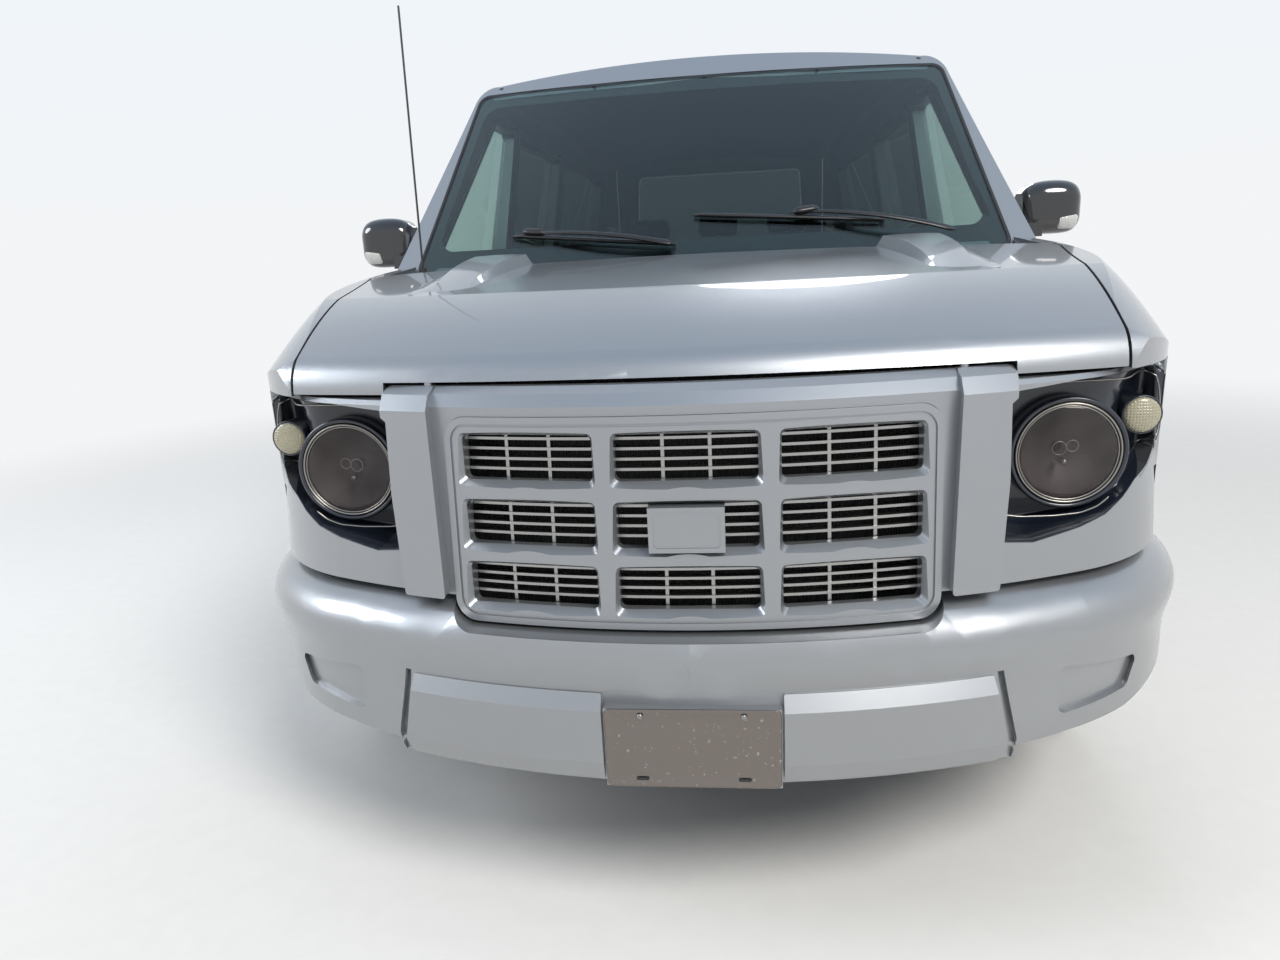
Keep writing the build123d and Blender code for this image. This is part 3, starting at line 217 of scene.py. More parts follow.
# Surface effects that several finishes share: moulded grain in plastics and castings, and a
# film of road dust that thickens towards the ground.


def effect(name, inputs, outputs):
    """An empty shader node group with named inputs (name, value) and outputs (name, kind)."""
    group = bpy.data.node_groups.new(name, "ShaderNodeTree")
    for label, value in inputs:
        socket = group.interface.new_socket(label, in_out="INPUT", socket_type="NodeSocketFloat")
        socket.default_value = value
    for label, kind in outputs:
        group.interface.new_socket(label, in_out="OUTPUT", socket_type=kind)
    return group, group.nodes.new("NodeGroupInput"), group.nodes.new("NodeGroupOutput")


def reckon(group, operation, *numbers, **values):
    """A Math node whose inputs hold these numbers; None leaves an input to a link."""
    node = place(group, "ShaderNodeMath", operation=operation, **values)
    for slot, number in enumerate(numbers):
        if number is not None:
            node.inputs[slot].default_value = number
    return node


dust, dust_in, dust_out = effect(
    "road_dust",
    [("Top", 0.9), ("Amount", 0.5), ("Scale", 9.0)],
    [("Mask", "NodeSocketFloat")],
)
where = place(dust, "ShaderNodeTexCoord")
split = place(dust, "ShaderNodeSeparateXYZ")
fall = reckon(dust, "DIVIDE")
less = reckon(dust, "SUBTRACT", 1.0, use_clamp=True)
cloud = place(dust, "ShaderNodeTexNoise", Detail=6.0, Roughness=0.65)
patchy = reckon(dust, "MULTIPLY")
amount = reckon(dust, "MULTIPLY", use_clamp=True)
join(
    dust,
    (where, "Object", split, 0),
    (split, "Z", fall, 0),
    (dust_in, "Top", fall, 1),
    (fall, 0, less, 1),
    (where, "Object", cloud, "Vector"),
    (dust_in, "Scale", cloud, "Scale"),
    (cloud, "Fac", patchy, 0),
    (less, 0, patchy, 1),
    (patchy, 0, amount, 0),
    (dust_in, "Amount", amount, 1),
    (amount, 0, dust_out, 0),
)

ripple, ripple_in, ripple_out = effect(
    "grain",
    [("Scale", 900.0), ("Depth", 0.0002), ("Strength", 0.2), ("Warp", 0.0)],
    [("Normal", "NodeSocketVector"), ("Mask", "NodeSocketFloat")],
)
fine = on_object(ripple, "ShaderNodeTexNoise", Detail=2.0)
raised = place(ripple, "ShaderNodeBump")
join(
    ripple,
    (ripple_in, "Scale", fine, "Scale"),
    (ripple_in, "Warp", fine, "Distortion"),
    (fine, "Fac", raised, "Height"),
    (ripple_in, "Depth", raised, "Distance"),
    (ripple_in, "Strength", raised, "Strength"),
    (raised, "Normal", ripple_out, "Normal"),
    (fine, "Fac", ripple_out, "Mask"),
)


def shared(material, group, **values):
    """Places a shared effect in a material with its own values."""
    node = place(material, "ShaderNodeGroup", node_tree=group)
    for label, value in values.items():
        node.inputs[label].default_value = value
    return node


def add_grain(material, scale, depth, strength):
    """Gives a material the shared grain: cells per metre, depth in metres and strength."""
    node = shared(material, ripple, Scale=scale, Depth=depth, Strength=strength)
    join(material, (node, "Normal", shader_of(material), "Normal"))


def follow(material, source, output, socket, low, high):
    """Lets a socket of the shader run from low to high with a mask."""
    span = place(material, "ShaderNodeMapRange", To_Min=low, To_Max=high)
    join(material, (source, output, span, "Value"), (span, "Result", shader_of(material), socket))


def add_dust(material, dirty, top, amount, rough=(0.4, 0.8), scale=9.0):
    """Fades a material's colour and roughness into dust by the shared mask; gives back the
    node that mixes the two colours."""
    node = shared(material, dust, Top=top, Amount=amount, Scale=scale)
    shader = shader_of(material)
    tint = place(material, "ShaderNodeMix", data_type="RGBA")
    tint.inputs[6].default_value = shader.inputs["Base Color"].default_value
    tint.inputs[7].default_value = (*dirty, 1)
    join(material, (node, "Mask", tint, 0), (tint, 2, shader, "Base Color"))
    follow(material, node, "Mask", "Roughness", *rough)
    return tint


# Silver metallic paint on the body panels: aluminium flake under a clear coat, with a little
# dust low down. The panels are pressed steel and moulded nose and bumper covers.
flake_metal, clear_coat = 0.80, 0.8


def emboss(material, texture, output, strength, distance):
    """Raises the surface by a texture's output."""
    bump = place(material, "ShaderNodeBump", Strength=strength, Distance=distance)
    join(material, (texture, output, bump, "Height"), (bump, "Normal", shader_of(material), "Normal"))


paint = finish(
    "silver_paint", (0.33, 0.343, 0.360), metallic=flake_metal, roughness=0.36,
    Coat_Weight=clear_coat, Coat_Roughness=0.045, Coat_IOR=1.5,
)
paint_tint = add_dust(paint, (0.27, 0.255, 0.235), 0.75, 0.6, (0.36, 0.58))
flakes = on_object(paint, "ShaderNodeTexVoronoi", Scale=2600.0)
emboss(paint, flakes, "Distance", 0.12, 0.0004)

# The panels' inner faces carry grained grey trim and sound pads instead of paint. A shared mask
# finds the faces that look towards the centre line, down, or forward from the tailgate.
lined_grey = (0.085, 0.085, 0.090, 1)
lined_above, gate_from, cabin_from = 0.99, 2.25, -1.30
inward, inward_in, inward_out = effect("inner_faces", [("Edge", 0.55)], [("Mask", "NodeSocketFloat")])
face_at = place(inward, "ShaderNodeTexCoord")
facing = place(inward, "ShaderNodeSeparateXYZ")
spot_of = place(inward, "ShaderNodeSeparateXYZ")
to_middle = reckon(inward, "MULTIPLY")
flip_x = reckon(inward, "MULTIPLY", None, -1.0)
flip_z = reckon(inward, "MULTIPLY", None, -1.0)
above = reckon(inward, "GREATER_THAN", None, lined_above)
below = reckon(inward, "MULTIPLY")
flip_y = reckon(inward, "MULTIPLY", None, -1.0)
behind_rear = reckon(inward, "GREATER_THAN", None, gate_from)
gate_face = reckon(inward, "MULTIPLY")
most = reckon(inward, "MAXIMUM")
most_of = reckon(inward, "MAXIMUM")
cut = reckon(inward, "GREATER_THAN")
in_cabin = reckon(inward, "GREATER_THAN", None, cabin_from)
both = reckon(inward, "MULTIPLY")
join(
    inward,
    (face_at, "Normal", facing, 0),
    (face_at, "Object", spot_of, 0),
    (facing, "X", to_middle, 0),
    (spot_of, "X", to_middle, 1),
    (to_middle, 0, flip_x, 0),
    (facing, "Z", flip_z, 0),
    (spot_of, "Z", above, 0),
    (flip_z, 0, below, 0),
    (above, 0, below, 1),
    (facing, "Y", flip_y, 0),
    (spot_of, "Y", behind_rear, 0),
    (flip_y, 0, gate_face, 0),
    (behind_rear, 0, gate_face, 1),
    (flip_x, 0, most, 0),
    (below, 0, most, 1),
    (most, 0, most_of, 0),
    (gate_face, 0, most_of, 1),
    (most_of, 0, cut, 0),
    (inward_in, "Edge", cut, 1),
    (spot_of, "Y", in_cabin, 0),
    (cut, 0, both, 0),
    (in_cabin, 0, both, 1),
    (both, 0, inward_out, 0),
)
inner_mask = shared(paint, inward)
lined = place(paint, "ShaderNodeMix", data_type="RGBA")
lined.inputs[7].default_value = lined_grey
follow(paint, inner_mask, "Mask", "Metallic", flake_metal, 0.0)
follow(paint, inner_mask, "Mask", "Coat Weight", clear_coat, 0.0)
join(
    paint,
    (inner_mask, "Mask", lined, 0),
    (paint_tint, 2, lined, 6),
    (lined, 2, shader_of(paint), "Base Color"),
)


def dress(names, material):
    """Puts one material on each named CAD node."""
    for name in names:
        nodes[name].data.materials.clear()
        nodes[name].data.materials.append(material)


dress([
    "body_sides", "roof", "fenders", "fascia", "grille", "bumper_front", "bumper_rear", "hood",
    "tailgate", "door_front_left", "door_rear_left", "door_front_right", "door_rear_right",
], paint)

# Glass: the windshield and front door glass are green-tinted and clear, the rest is dark
# privacy glass. Each is one pressed sheet bonded to its frame.
screen_glass = finish(
    "screen_glass", (0.55, 0.68, 0.64), roughness=0.0, IOR=1.36, Transmission_Weight=1.0
)
screen_haze = on_object(screen_glass, "ShaderNodeTexNoise", Scale=3.0, Detail=5.0)
follow(screen_glass, screen_haze, "Fac", "Roughness", 0.0, 0.03)
privacy = finish(
    "privacy_glass", (0.035, 0.045, 0.045), roughness=0.0, IOR=1.5, Transmission_Weight=0.85
)
add_grain(privacy, 6.0, 0.001, 0.02)
dress(["windshield", "door_front_glass_left", "door_front_glass_right"], screen_glass)
dress(["quarter_glasses", "tailgate_glass", "door_rear_glass_left", "door_rear_glass_right"], privacy)

# Underneath: welded ladder frame, cast engine, tube shaft, arms and axle, in black paint and
# bare castings with road film.
frame_paint = finish("frame_paint", (0.025, 0.025, 0.027), metallic=0.3, roughness=0.5)
add_dust(frame_paint, (0.13, 0.115, 0.095), 0.7, 0.9, (0.45, 0.85))
add_grain(frame_paint, 220.0, 0.0006, 0.25)
casting = finish("engine_casting", (0.30, 0.30, 0.31), metallic=0.8, roughness=0.55)
add_dust(casting, (0.12, 0.10, 0.08), 1.1, 0.9, (0.5, 0.85))
add_grain(casting, 160.0, 0.0012, 0.4)
dress([
    "frame", "axle_rear", "suspension_front", "driveline", "knuckle_left", "knuckle_right",
], frame_paint)
dress(["engine"], casting)

# Inside: ribbed rubber glued to the floor, and a dashboard and steering wheel moulded in grained
# plastic. The CAD seats wear a plain cloth until the sewn pads take their place.
rubber_floor = finish("floor_rubber", (0.055, 0.055, 0.06), roughness=0.75)
add_grain(rubber_floor, 340.0, 0.0006, 0.5)
dash_plastic = finish("dash_plastic", (0.075, 0.085, 0.10), roughness=0.55)
add_grain(dash_plastic, 520.0, 0.0004, 0.45)
seat_cloth = finish(
    "seat_cloth", (0.12, 0.13, 0.15), roughness=0.95, Sheen_Weight=0.35, Sheen_Roughness=0.5
)
add_grain(seat_cloth, 900.0, 0.0006, 0.6)
dress(["floor"], rubber_floor)
dress(["dashboard", "steering_wheel"], dash_plastic)
dress(["seats"], seat_cloth)

# Black trim: moulded cowl, wiper arms, antenna, gloss caps on the mirrors, lamp housings. The
# mouldings are coloured right through and clipped or screwed to the panels.
trim = finish("black_trim", (0.022, 0.022, 0.024), roughness=0.5)
add_dust(trim, (0.12, 0.11, 0.10), 0.6, 0.8, (0.48, 0.8))
add_grain(trim, 700.0, 0.0003, 0.4)
gloss_black = finish(
    "gloss_black", (0.008, 0.008, 0.010), roughness=0.12, Coat_Weight=1.0, Coat_Roughness=0.03
)
add_grain(gloss_black, 30.0, 0.0002, 0.03)
housing_black = finish(
    "lamp_housing", (0.010, 0.012, 0.022), roughness=0.25, Coat_Weight=0.5, Coat_Roughness=0.1
)
add_grain(housing_black, 60.0, 0.0002, 0.05)
dress(["cowl", "wipers", "antenna"], trim)
dress(["mirror_left", "mirror_right"], gloss_black)
dress(["headlamps"], housing_black)

# Bright bars clipped behind the grille, moulded red tail lamps, and the ribbed ramp of extruded
# aluminium in its slides.
bright = finish("bright_bar", (0.40, 0.40, 0.385), metallic=1.0, roughness=0.32)
add_grain(bright, 400.0, 0.0001, 0.05)
red_lens = finish(
    "red_lens", (0.26, 0.004, 0.006), roughness=0.18, Coat_Weight=0.7, Coat_Roughness=0.04
)
add_grain(red_lens, 120.0, 0.0006, 0.2)
ramp_alloy = finish("ramp_alloy", (0.42, 0.43, 0.44), metallic=0.9, roughness=0.55)
add_grain(ramp_alloy, 300.0, 0.0004, 0.4)
dress(["grille_bars"], bright)
dress(["tail_lamps"], red_lens)
dress(["ramp"], ramp_alloy)

# Wheels: cast alloy rims, painted and lacquered, with tubeless rubber tyres pressed onto their
# beads. The tyres' plain solids carry the rubber until the moulded ones take their place.
tyre_rubber = finish("tyre_rubber", (0.018, 0.018, 0.019), roughness=0.8)
add_dust(tyre_rubber, (0.085, 0.08, 0.072), 0.5, 0.6, (0.7, 0.92), 14.0)
add_grain(tyre_rubber, 260.0, 0.0006, 0.4)
rim_alloy = finish(
    "rim_alloy", (0.60, 0.61, 0.63), metallic=0.9, roughness=0.28,
    Coat_Weight=0.6, Coat_Roughness=0.08,
)
add_grain(rim_alloy, 800.0, 0.0001, 0.08)
for corner in ("front_left", "front_right", "rear_left", "rear_right"):
    dress([f"tyre_{corner}"], tyre_rubber)
    dress([f"rim_{corner}"], rim_alloy)

# Road tyres, 235 wide on 17-inch rims: a moulded rubber case with five ribs, staggered tread
# blocks and a lettering-free sidewall. Each takes the place of its plain solid.
tyre_centre_x, tyre_width, tyre_outer, tyre_bead = 0.84, 0.235, 0.368, 0.2302
axle_at, wheelbase = 0.955, 2.946
wheels = [
    (f"{end}_{label}", side, behind(station))
    for end, station in (("front", axle_at), ("rear", axle_at + wheelbase))
    for label, side in (("left", 1), ("right", -1))
]


def sheet_faces(rows, columns, closed=False):
    """Quads of a grid of rows by columns of points; closed joins the last column to the first."""
    across = columns if closed else columns - 1
    r, c = np.meshgrid(np.arange(rows - 1), np.arange(across), indexing="ij")
    nxt = (c + 1) % columns
    quads = [r * columns + c, r * columns + nxt, (r + 1) * columns + nxt, (r + 1) * columns + c]
    return np.stack(quads, -1).reshape(-1, 4)


def turned_out(faces, keep):
    """The faces as they are, or each turned round, so that a mirrored piece looks outwards."""
    if keep:
        return faces
    return faces[:, ::-1] if isinstance(faces, np.ndarray) else [face[::-1] for face in faces]


def turned(profile_r, profile_x, centre, steps, shape=None):
    """A surface of revolution about a line along X: point = centre + (x, r cos a, r sin a).
    A shape array adds to the radius at each angle and profile point."""
    angle = np.linspace(0, 2 * np.pi, steps, endpoint=False)[:, None]
    r = np.broadcast_to(profile_r, (steps, len(profile_r))).copy()
    if shape is not None:
        r += shape
    x = np.broadcast_to(profile_x, r.shape)
    pts = np.stack([x, r * np.cos(angle), r * np.sin(angle)], -1) + np.array(centre)
    return pts.transpose(1, 0, 2).reshape(-1, 3), sheet_faces(len(profile_r), steps, closed=True)


def tyre_mesh(name, side, axle_y):
    """Profile points run across the tread and down both sidewalls; grooves lower the radius."""
    half, tread_half, blocks, steps = tyre_width / 2, 0.097, 72, 504
    groove_depth, groove_half, cross_depth = 0.0075, 0.0034, 0.0062
    tread = np.linspace(-tread_half, tread_half, 49)
    crown = tyre_outer - 0.008 * (np.abs(tread) / 0.0955) ** 2.4
    wall_t = np.linspace(0, 1, 13)[1:]
    wall_x = tread_half + (half - tread_half) * np.sin(np.pi * np.clip(wall_t * 1.25, 0, 1) / 2)
    wall_x = wall_x - np.clip(wall_t - 0.55, 0, 1) * 0.036
    wall_r = crown[-1] - (crown[-1] - tyre_bead) * wall_t**1.15
    inner_x = np.array([half - 0.041, half - 0.045, half - 0.044])
    inner_r = np.array([tyre_bead, tyre_bead + 0.004, 0.30])
    x = np.concatenate([-inner_x[::-1], -wall_x[::-1], tread, wall_x, inner_x])
    r = np.concatenate([inner_r[::-1], wall_r[::-1], crown, wall_r, inner_r])
    a = np.linspace(0, 2 * np.pi, steps, endpoint=False)[:, None]
    depth = np.zeros((steps, len(x)))
    for groove in (-0.062, -0.021, 0.021, 0.062):
        depth += groove_depth * np.clip(1.6 - np.abs(x - groove) / groove_half, 0, 1)
    phase = (a * blocks / (2 * np.pi) + 3.2 * np.abs(x) / 0.1 + 0.5 * (x > 0)) % 1.0
    on_blocks = (np.abs(x) < 0.103) * (np.abs(x) > 0.024)
    cross = np.clip(1.9 - np.abs(phase - 0.5) / 0.075, 0, 1) * on_blocks
    depth = np.maximum(depth, cross_depth * cross)
    rib = (np.abs(x) > 0.1005) * (np.abs(r - 0.318) < 0.004) * -0.0006
    centre = (side * tyre_centre_x, axle_y, tyre_outer)
    pts, faces = turned(r, side * x, centre, steps, -depth + rib)
    return surface(name, pts, turned_out(faces, side > 0))


def put(thing, material, body):
    """Gives a piece its material and the body that it rides on."""
    thing.data.materials.append(material)
    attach(thing, body)
    return thing


tread_rubber = finish("tread_rubber", (0.020, 0.020, 0.021), roughness=0.82)
add_dust(tread_rubber, (0.085, 0.08, 0.072), 0.55, 0.7, (0.72, 0.95), 16.0)
add_grain(tread_rubber, 420.0, 0.0004, 0.35)
for corner, side, axle_y in wheels:
    tyre = put(tyre_mesh(f"road_tyre_{corner}", side, axle_y), tread_rubber, f"wheel_{corner}")
    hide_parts(f"tyre_{corner}")

# Wheel bolts, centre cap and brake disc: zinc-plated bolts on the rim, a moulded cap pressed
# into its middle, and a turned iron disc behind it.
rim_face, bolt_circle, bolt_turn = 0.0545, 0.046, 0.3
steel = finish("bolt_steel", (0.55, 0.55, 0.56), metallic=1.0, roughness=0.3)
add_grain(steel, 500.0, 0.0001, 0.1)
disc_iron = finish("disc_iron", (0.36, 0.35, 0.34), metallic=1.0, roughness=0.32)
add_dust(disc_iron, (0.20, 0.13, 0.08), 1.2, 0.5, (0.3, 0.6), 30.0)
bolt_r = np.array([0.0075, 0.0085, 0.0085, 0.0055, 0.0001])
bolt_x = np.array([-0.004, 0.0, 0.010, 0.014, 0.0145])
cap_r = np.array([0.030, 0.0305, 0.029, 0.024, 0.012, 0.0001])
cap_x = np.array([-0.003, 0.003, 0.008, 0.0105, 0.012, 0.0124])
disc_r = np.array([0.066, 0.066, 0.158, 0.158, 0.066])
disc_x = np.array([-0.02, -0.008, -0.008, -0.030, -0.030])
for corner, side, axle_y in wheels:
    wheel = f"wheel_{corner}"
    face_x = side * (tyre_centre_x + rim_face)
    for count in range(5):
        turn = 2 * math.pi * count / 5 + bolt_turn
        spot = (
            face_x,
            axle_y + bolt_circle * math.cos(turn),
            tyre_outer + bolt_circle * math.sin(turn),
        )
        pts, faces = turned(bolt_r, side * bolt_x, spot, 6)
        bolt = surface(f"bolt_{corner}_{count}", pts, turned_out(faces, side > 0), smooth=False)
        put(bolt, steel, wheel)
    pts, faces = turned(cap_r, side * cap_x, (face_x, axle_y, tyre_outer), 40)
    put(surface(f"hub_cap_{corner}", pts, turned_out(faces, side > 0)), rim_alloy, wheel)
    pts, faces = turned(disc_r, side * disc_x, (side * tyre_centre_x, axle_y, tyre_outer), 72)
    disc = surface(f"brake_disc_{corner}", pts, turned_out(faces, side < 0), smooth=False)
    put(disc, disc_iron, wheel)

# Windshield surround: a black ceramic band printed round the inside of the glass, and a rubber
# seal in the gap round its edge.
screen_radius = 3.429
foot_station, head_station = 1.215, 1.881
foot_height, head_height = 1.245, 1.819
screen_rake = (head_station - foot_station) / (head_height - foot_height)
sheet_low, sheet_high = 1.215, 1.836
sheet_low_half, sheet_high_half = 0.876, 0.810


def on_screen(x, z, lift):
    """A point of the windshield's face: station = foot + rake x height + the curve's sag, then
    moved out along the face's normal by a lift."""
    x, z = np.asarray(x, float), np.asarray(z, float)
    drop = np.sqrt(screen_radius**2 - x**2)
    y = behind(foot_station + (z - foot_height) * screen_rake + screen_radius - drop)
    normal = np.stack(np.broadcast_arrays(x / drop, -1.0, screen_rake), -1)
    normal = normal / np.linalg.norm(normal, axis=-1, keepdims=True)
    return np.stack(np.broadcast_arrays(x, y, z), -1) + normal * np.asarray(lift, float)[..., None]


def rounded_loop(corners, radius, count):
    """A closed loop of points: each corner of the outline becomes an arc of that radius."""
    corners = np.asarray(corners, float)
    before = np.roll(corners, 1, 0) - corners
    after = np.roll(corners, -1, 0) - corners
    before /= np.linalg.norm(before, axis=1, keepdims=True)
    after /= np.linalg.norm(after, axis=1, keepdims=True)
    half_angle = np.arccos(np.clip((before * after).sum(1), -1, 1)) / 2
    reach = (radius / np.tan(half_angle))[:, None]
    start, end = corners + before * reach, corners + after * reach
    inwards = (before + after) / np.linalg.norm(before + after, axis=1, keepdims=True)
    middle = corners + inwards * (radius / np.sin(half_angle))[:, None]
    t = np.linspace(0, 1, count)[None, :, None]
    blend = start[:, None] * (1 - t) + end[:, None] * t - middle[:, None]
    blend *= radius / np.linalg.norm(blend, axis=2, keepdims=True)
    return (middle[:, None] + blend).reshape(-1, 2)


def screen_loop(side, top, bottom, radius):
    """The windshield's outline drawn in by its own amounts at the sides, top and bottom."""
    slope = (sheet_low_half - sheet_high_half) / (sheet_high - sheet_low)
    low, high = sheet_low + bottom, sheet_high - top
    low_half = sheet_low_half - side - bottom * slope
    high_half = sheet_high_half - side + top * slope
    corners = [(-low_half, low), (low_half, low), (high_half, high), (-high_half, high)]
    return split_long(rounded_loop(corners, radius, 14), 4)


def split_long(loop, pieces):
    """Divides each side of a loop of points into equal short runs."""
    nxt = np.roll(loop, -1, 0)
    t = np.linspace(0, 1, pieces, endpoint=False)[None, :, None]
    return (loop[:, None] * (1 - t) + nxt[:, None] * t).reshape(-1, 2)


frit_black = finish("glass_band", (0.006, 0.006, 0.008), roughness=0.35, Coat_Weight=0.4)
add_grain(frit_black, 200.0, 0.0001, 0.05)
seal_rubber = finish("seal_rubber", (0.016, 0.016, 0.017), roughness=0.6)
add_grain(seal_rubber, 300.0, 0.0004, 0.3)
outer_loop = screen_loop(0.002, 0.002, 0.002, 0.038)
inner_loop = screen_loop(0.040, 0.050, 0.075, 0.055)
rows = np.linspace(0, 1, 6)[:, None, None]
band_xz = outer_loop[None] * (1 - rows) + inner_loop[None] * rows
band_points = on_screen(band_xz[..., 0], band_xz[..., 1], -0.00685).reshape(-1, 3)
band = surface("screen_band", band_points, sheet_faces(6, len(outer_loop), closed=True))
put(band, frit_black, "chassis")
seal_profile = (
    (-0.0034, -0.004), (-0.003, 0.0006), (-0.0005, 0.0016), (0.003, 0.0012), (0.0055, 0.0004),
)
seal_rows = []
for inset, lift in seal_profile:
    loop = screen_loop(inset, inset, inset, 0.040 - inset)
    seal_rows.append(on_screen(loop[:, 0], loop[:, 1], np.full(len(loop), lift)))
seal_faces = sheet_faces(len(seal_rows), len(seal_rows[0]), closed=True)
put(surface("screen_seal", np.concatenate(seal_rows), seal_faces), seal_rubber, "chassis")

# Wipers: pressed steel arms with a hooked end, a joint block, and a rubber blade under a thin
# spring beam. Both park at the foot of the glass.
glass_out = np.array([0.0, -0.653, 0.757])


def capped(rings, count):
    """Quads between closed rings of points, and one face over each end."""
    last = (rings - 1) * count
    faces = sheet_faces(rings, count, closed=True).tolist()
    return faces + [list(range(count))[::-1], [last + i for i in range(count)]]


def along(path, widths, heights, sides=8):
    """A tapered bar along a path: each ring is an ellipse of that width and height, square to
    the path, flat towards the glass; one flat face closes each end."""
    path = np.asarray(path, float)
    way = np.gradient(path, axis=0)
    way /= np.linalg.norm(way, axis=1, keepdims=True)
    across = np.cross(way, glass_out)
    across /= np.linalg.norm(across, axis=1, keepdims=True)
    rise = np.cross(across, way)
    a = np.linspace(0, 2 * np.pi, sides, endpoint=False)
    c = np.sign(np.cos(a)) * np.abs(np.cos(a)) ** 0.7
    s = np.sign(np.sin(a)) * np.abs(np.sin(a)) ** 0.7
    sideways = across[:, None] * (np.asarray(widths)[:, None] * c)[..., None] / 2
    upwards = rise[:, None] * (np.asarray(heights)[:, None] * s)[..., None] / 2
    pts = path[:, None] + sideways + upwards
    return pts.reshape(-1, 3), turned_out(capped(len(path), sides), False)


wiper_black = finish(
    "wiper_black", (0.012, 0.012, 0.013), metallic=0.2, roughness=0.38, Coat_Weight=0.3
)
add_grain(wiper_black, 500.0, 0.0002, 0.15)
wiper_rows = (
    ("right", (-0.079, 1.262), (-0.503, 1.317), (-0.575, 1.317), (-0.075, 1.268)),
    ("left", (0.714, 1.262), (0.298, 1.338), (-0.025, 1.349), (0.520, 1.306)),
)
for label, pivot, hub, blade_from, blade_to in wiper_rows:
    t = np.linspace(0, 1, 25)
    flat = np.ones(25)
    x = pivot[0] + (hub[0] - pivot[0]) * t
    z = pivot[1] + (hub[1] - pivot[1]) * t
    lift = 0.016 + 0.016 * np.sin(np.pi * np.clip(t * 1.05, 0, 1)) ** 0.8
    width = 0.020 - 0.009 * t
    height = 0.009 - 0.003 * t
    width[[0, -1]] = height[[0, -1]] = 0.002
    arm = surface(f"wiper_arm_{label}", *along(on_screen(x, z, lift), width, height, 10))
    block_t = np.linspace(-1, 1, 9)
    block_x = hub[0] + 0.038 * block_t
    block_z = hub[1] + 0.004 * block_t * (1 if label == "left" else -1)
    block_path = on_screen(block_x, block_z, np.full(9, 0.018))
    block_w = 0.024 * np.sqrt(np.clip(1 - block_t**4, 0.01, 1))
    block = surface(f"wiper_joint_{label}", *along(block_path, block_w, block_w * 0.85, 12))
    bx = blade_from[0] + (blade_to[0] - blade_from[0]) * t
    bz = blade_from[1] + (blade_to[1] - blade_from[1]) * t
    beam_w = 0.013 * np.sqrt(np.clip(1 - (2 * t - 1) ** 8, 0.02, 1))
    beam_path, lip_path = on_screen(bx, bz, 0.0105 * flat), on_screen(bx, bz, 0.0045 * flat)
    beam = surface(f"wiper_beam_{label}", *along(beam_path, beam_w, beam_w * 0.55, 8))
    lip = surface(f"wiper_rubber_{label}", *along(lip_path, 0.003 * flat, 0.0085 * flat, 6))
    for thing in (arm, block, beam):
        put(thing, wiper_black, "chassis")
    put(lip, seal_rubber, "chassis")
    if label == "right":
        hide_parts("wipers")

# Blank number plate: a stamped sheet of bright metal with a folded rim and screw slots, on the
# pad of the front bumper.
plate_half_width, plate_half_height, plate_corner = 0.1520, 0.0755, 0.010
plate_height, screw_out, screw_up, slot_down = 0.4165, 0.089, 0.062, 0.0585
plate_metal = finish("plate_metal", (0.30, 0.27, 0.25), metallic=1.0, roughness=0.3)
brushed = place(plate_metal, "ShaderNodeTexNoise", Scale=5.0, Detail=6.0)
stretch = place(plate_metal, "ShaderNodeMapping", Scale=(60.0, 60.0, 2.5))
speck = place(plate_metal, "ShaderNodeTexNoise", Scale=130.0, Detail=2.0)
plate_at = place(plate_metal, "ShaderNodeTexCoord")
join(
    plate_metal,
    (plate_at, "Object", stretch, "Vector"),
    (stretch, "Vector", brushed, "Vector"),
    (plate_at, "Object", speck, "Vector"),
)
tinted(plate_metal, speck, (0.66, (0.22, 0.195, 0.18)), (0.80, (0.50, 0.47, 0.43)))
emboss(plate_metal, brushed, "Fac", 0.12, 0.0006)


def rectangle(left, low, right, high):
    """The four corners of a rectangle, round from the first."""
    return [(left, low), (right, low), (right, high), (left, high)]


def plate(name, middle_z, face_y, outward, tilt):
    """A rounded sheet with a rolled rim: nested loops from the edge to the middle, each set back
    by its own amount; tilt leans the sheet with height."""
    rings = (
        (0.0, 0.0012), (0.0012, 0.0002), (0.004, 0.0), (0.007, 0.0002), (0.009, 0.0010),
        (0.03, 0.0010), (0.07, 0.0010),
    )
    loops = []
    for inset, back_step in rings:
        x, z = plate_half_width - inset, plate_half_height - inset
        loop = rounded_loop(rectangle(-x, -z, x, z), max(plate_corner - inset, 0.002), 8)
        y = face_y - outward * back_step + tilt * loop[:, 1]
        loops.append(np.stack([loop[:, 0], y, loop[:, 1] + middle_z], -1))
    faces = capped(len(rings), len(loops[0]))
    return surface(name, np.concatenate(loops), turned_out(faces, outward < 0))


def dish(radii, depths, centre, steps):
    """A surface of revolution about a line along Y: point = centre + (r cos a, depth, r sin a)."""
    angle = np.linspace(0, 2 * np.pi, steps, endpoint=False)
    r, d = np.asarray(radii)[:, None], np.asarray(depths)[:, None]
    pts = np.stack(np.broadcast_arrays(r * np.cos(angle), d, r * np.sin(angle)), -1)
    return (pts + np.array(centre)).reshape(-1, 3), sheet_faces(len(radii), steps, closed=True)


def spun(name, radii, depths, centre, steps, keep=False):
    """A piece turned about a line along Y, its faces kept or turned round."""
    pts, faces = dish(radii, depths, centre, steps)
    return surface(name, pts, turned_out(faces, keep))


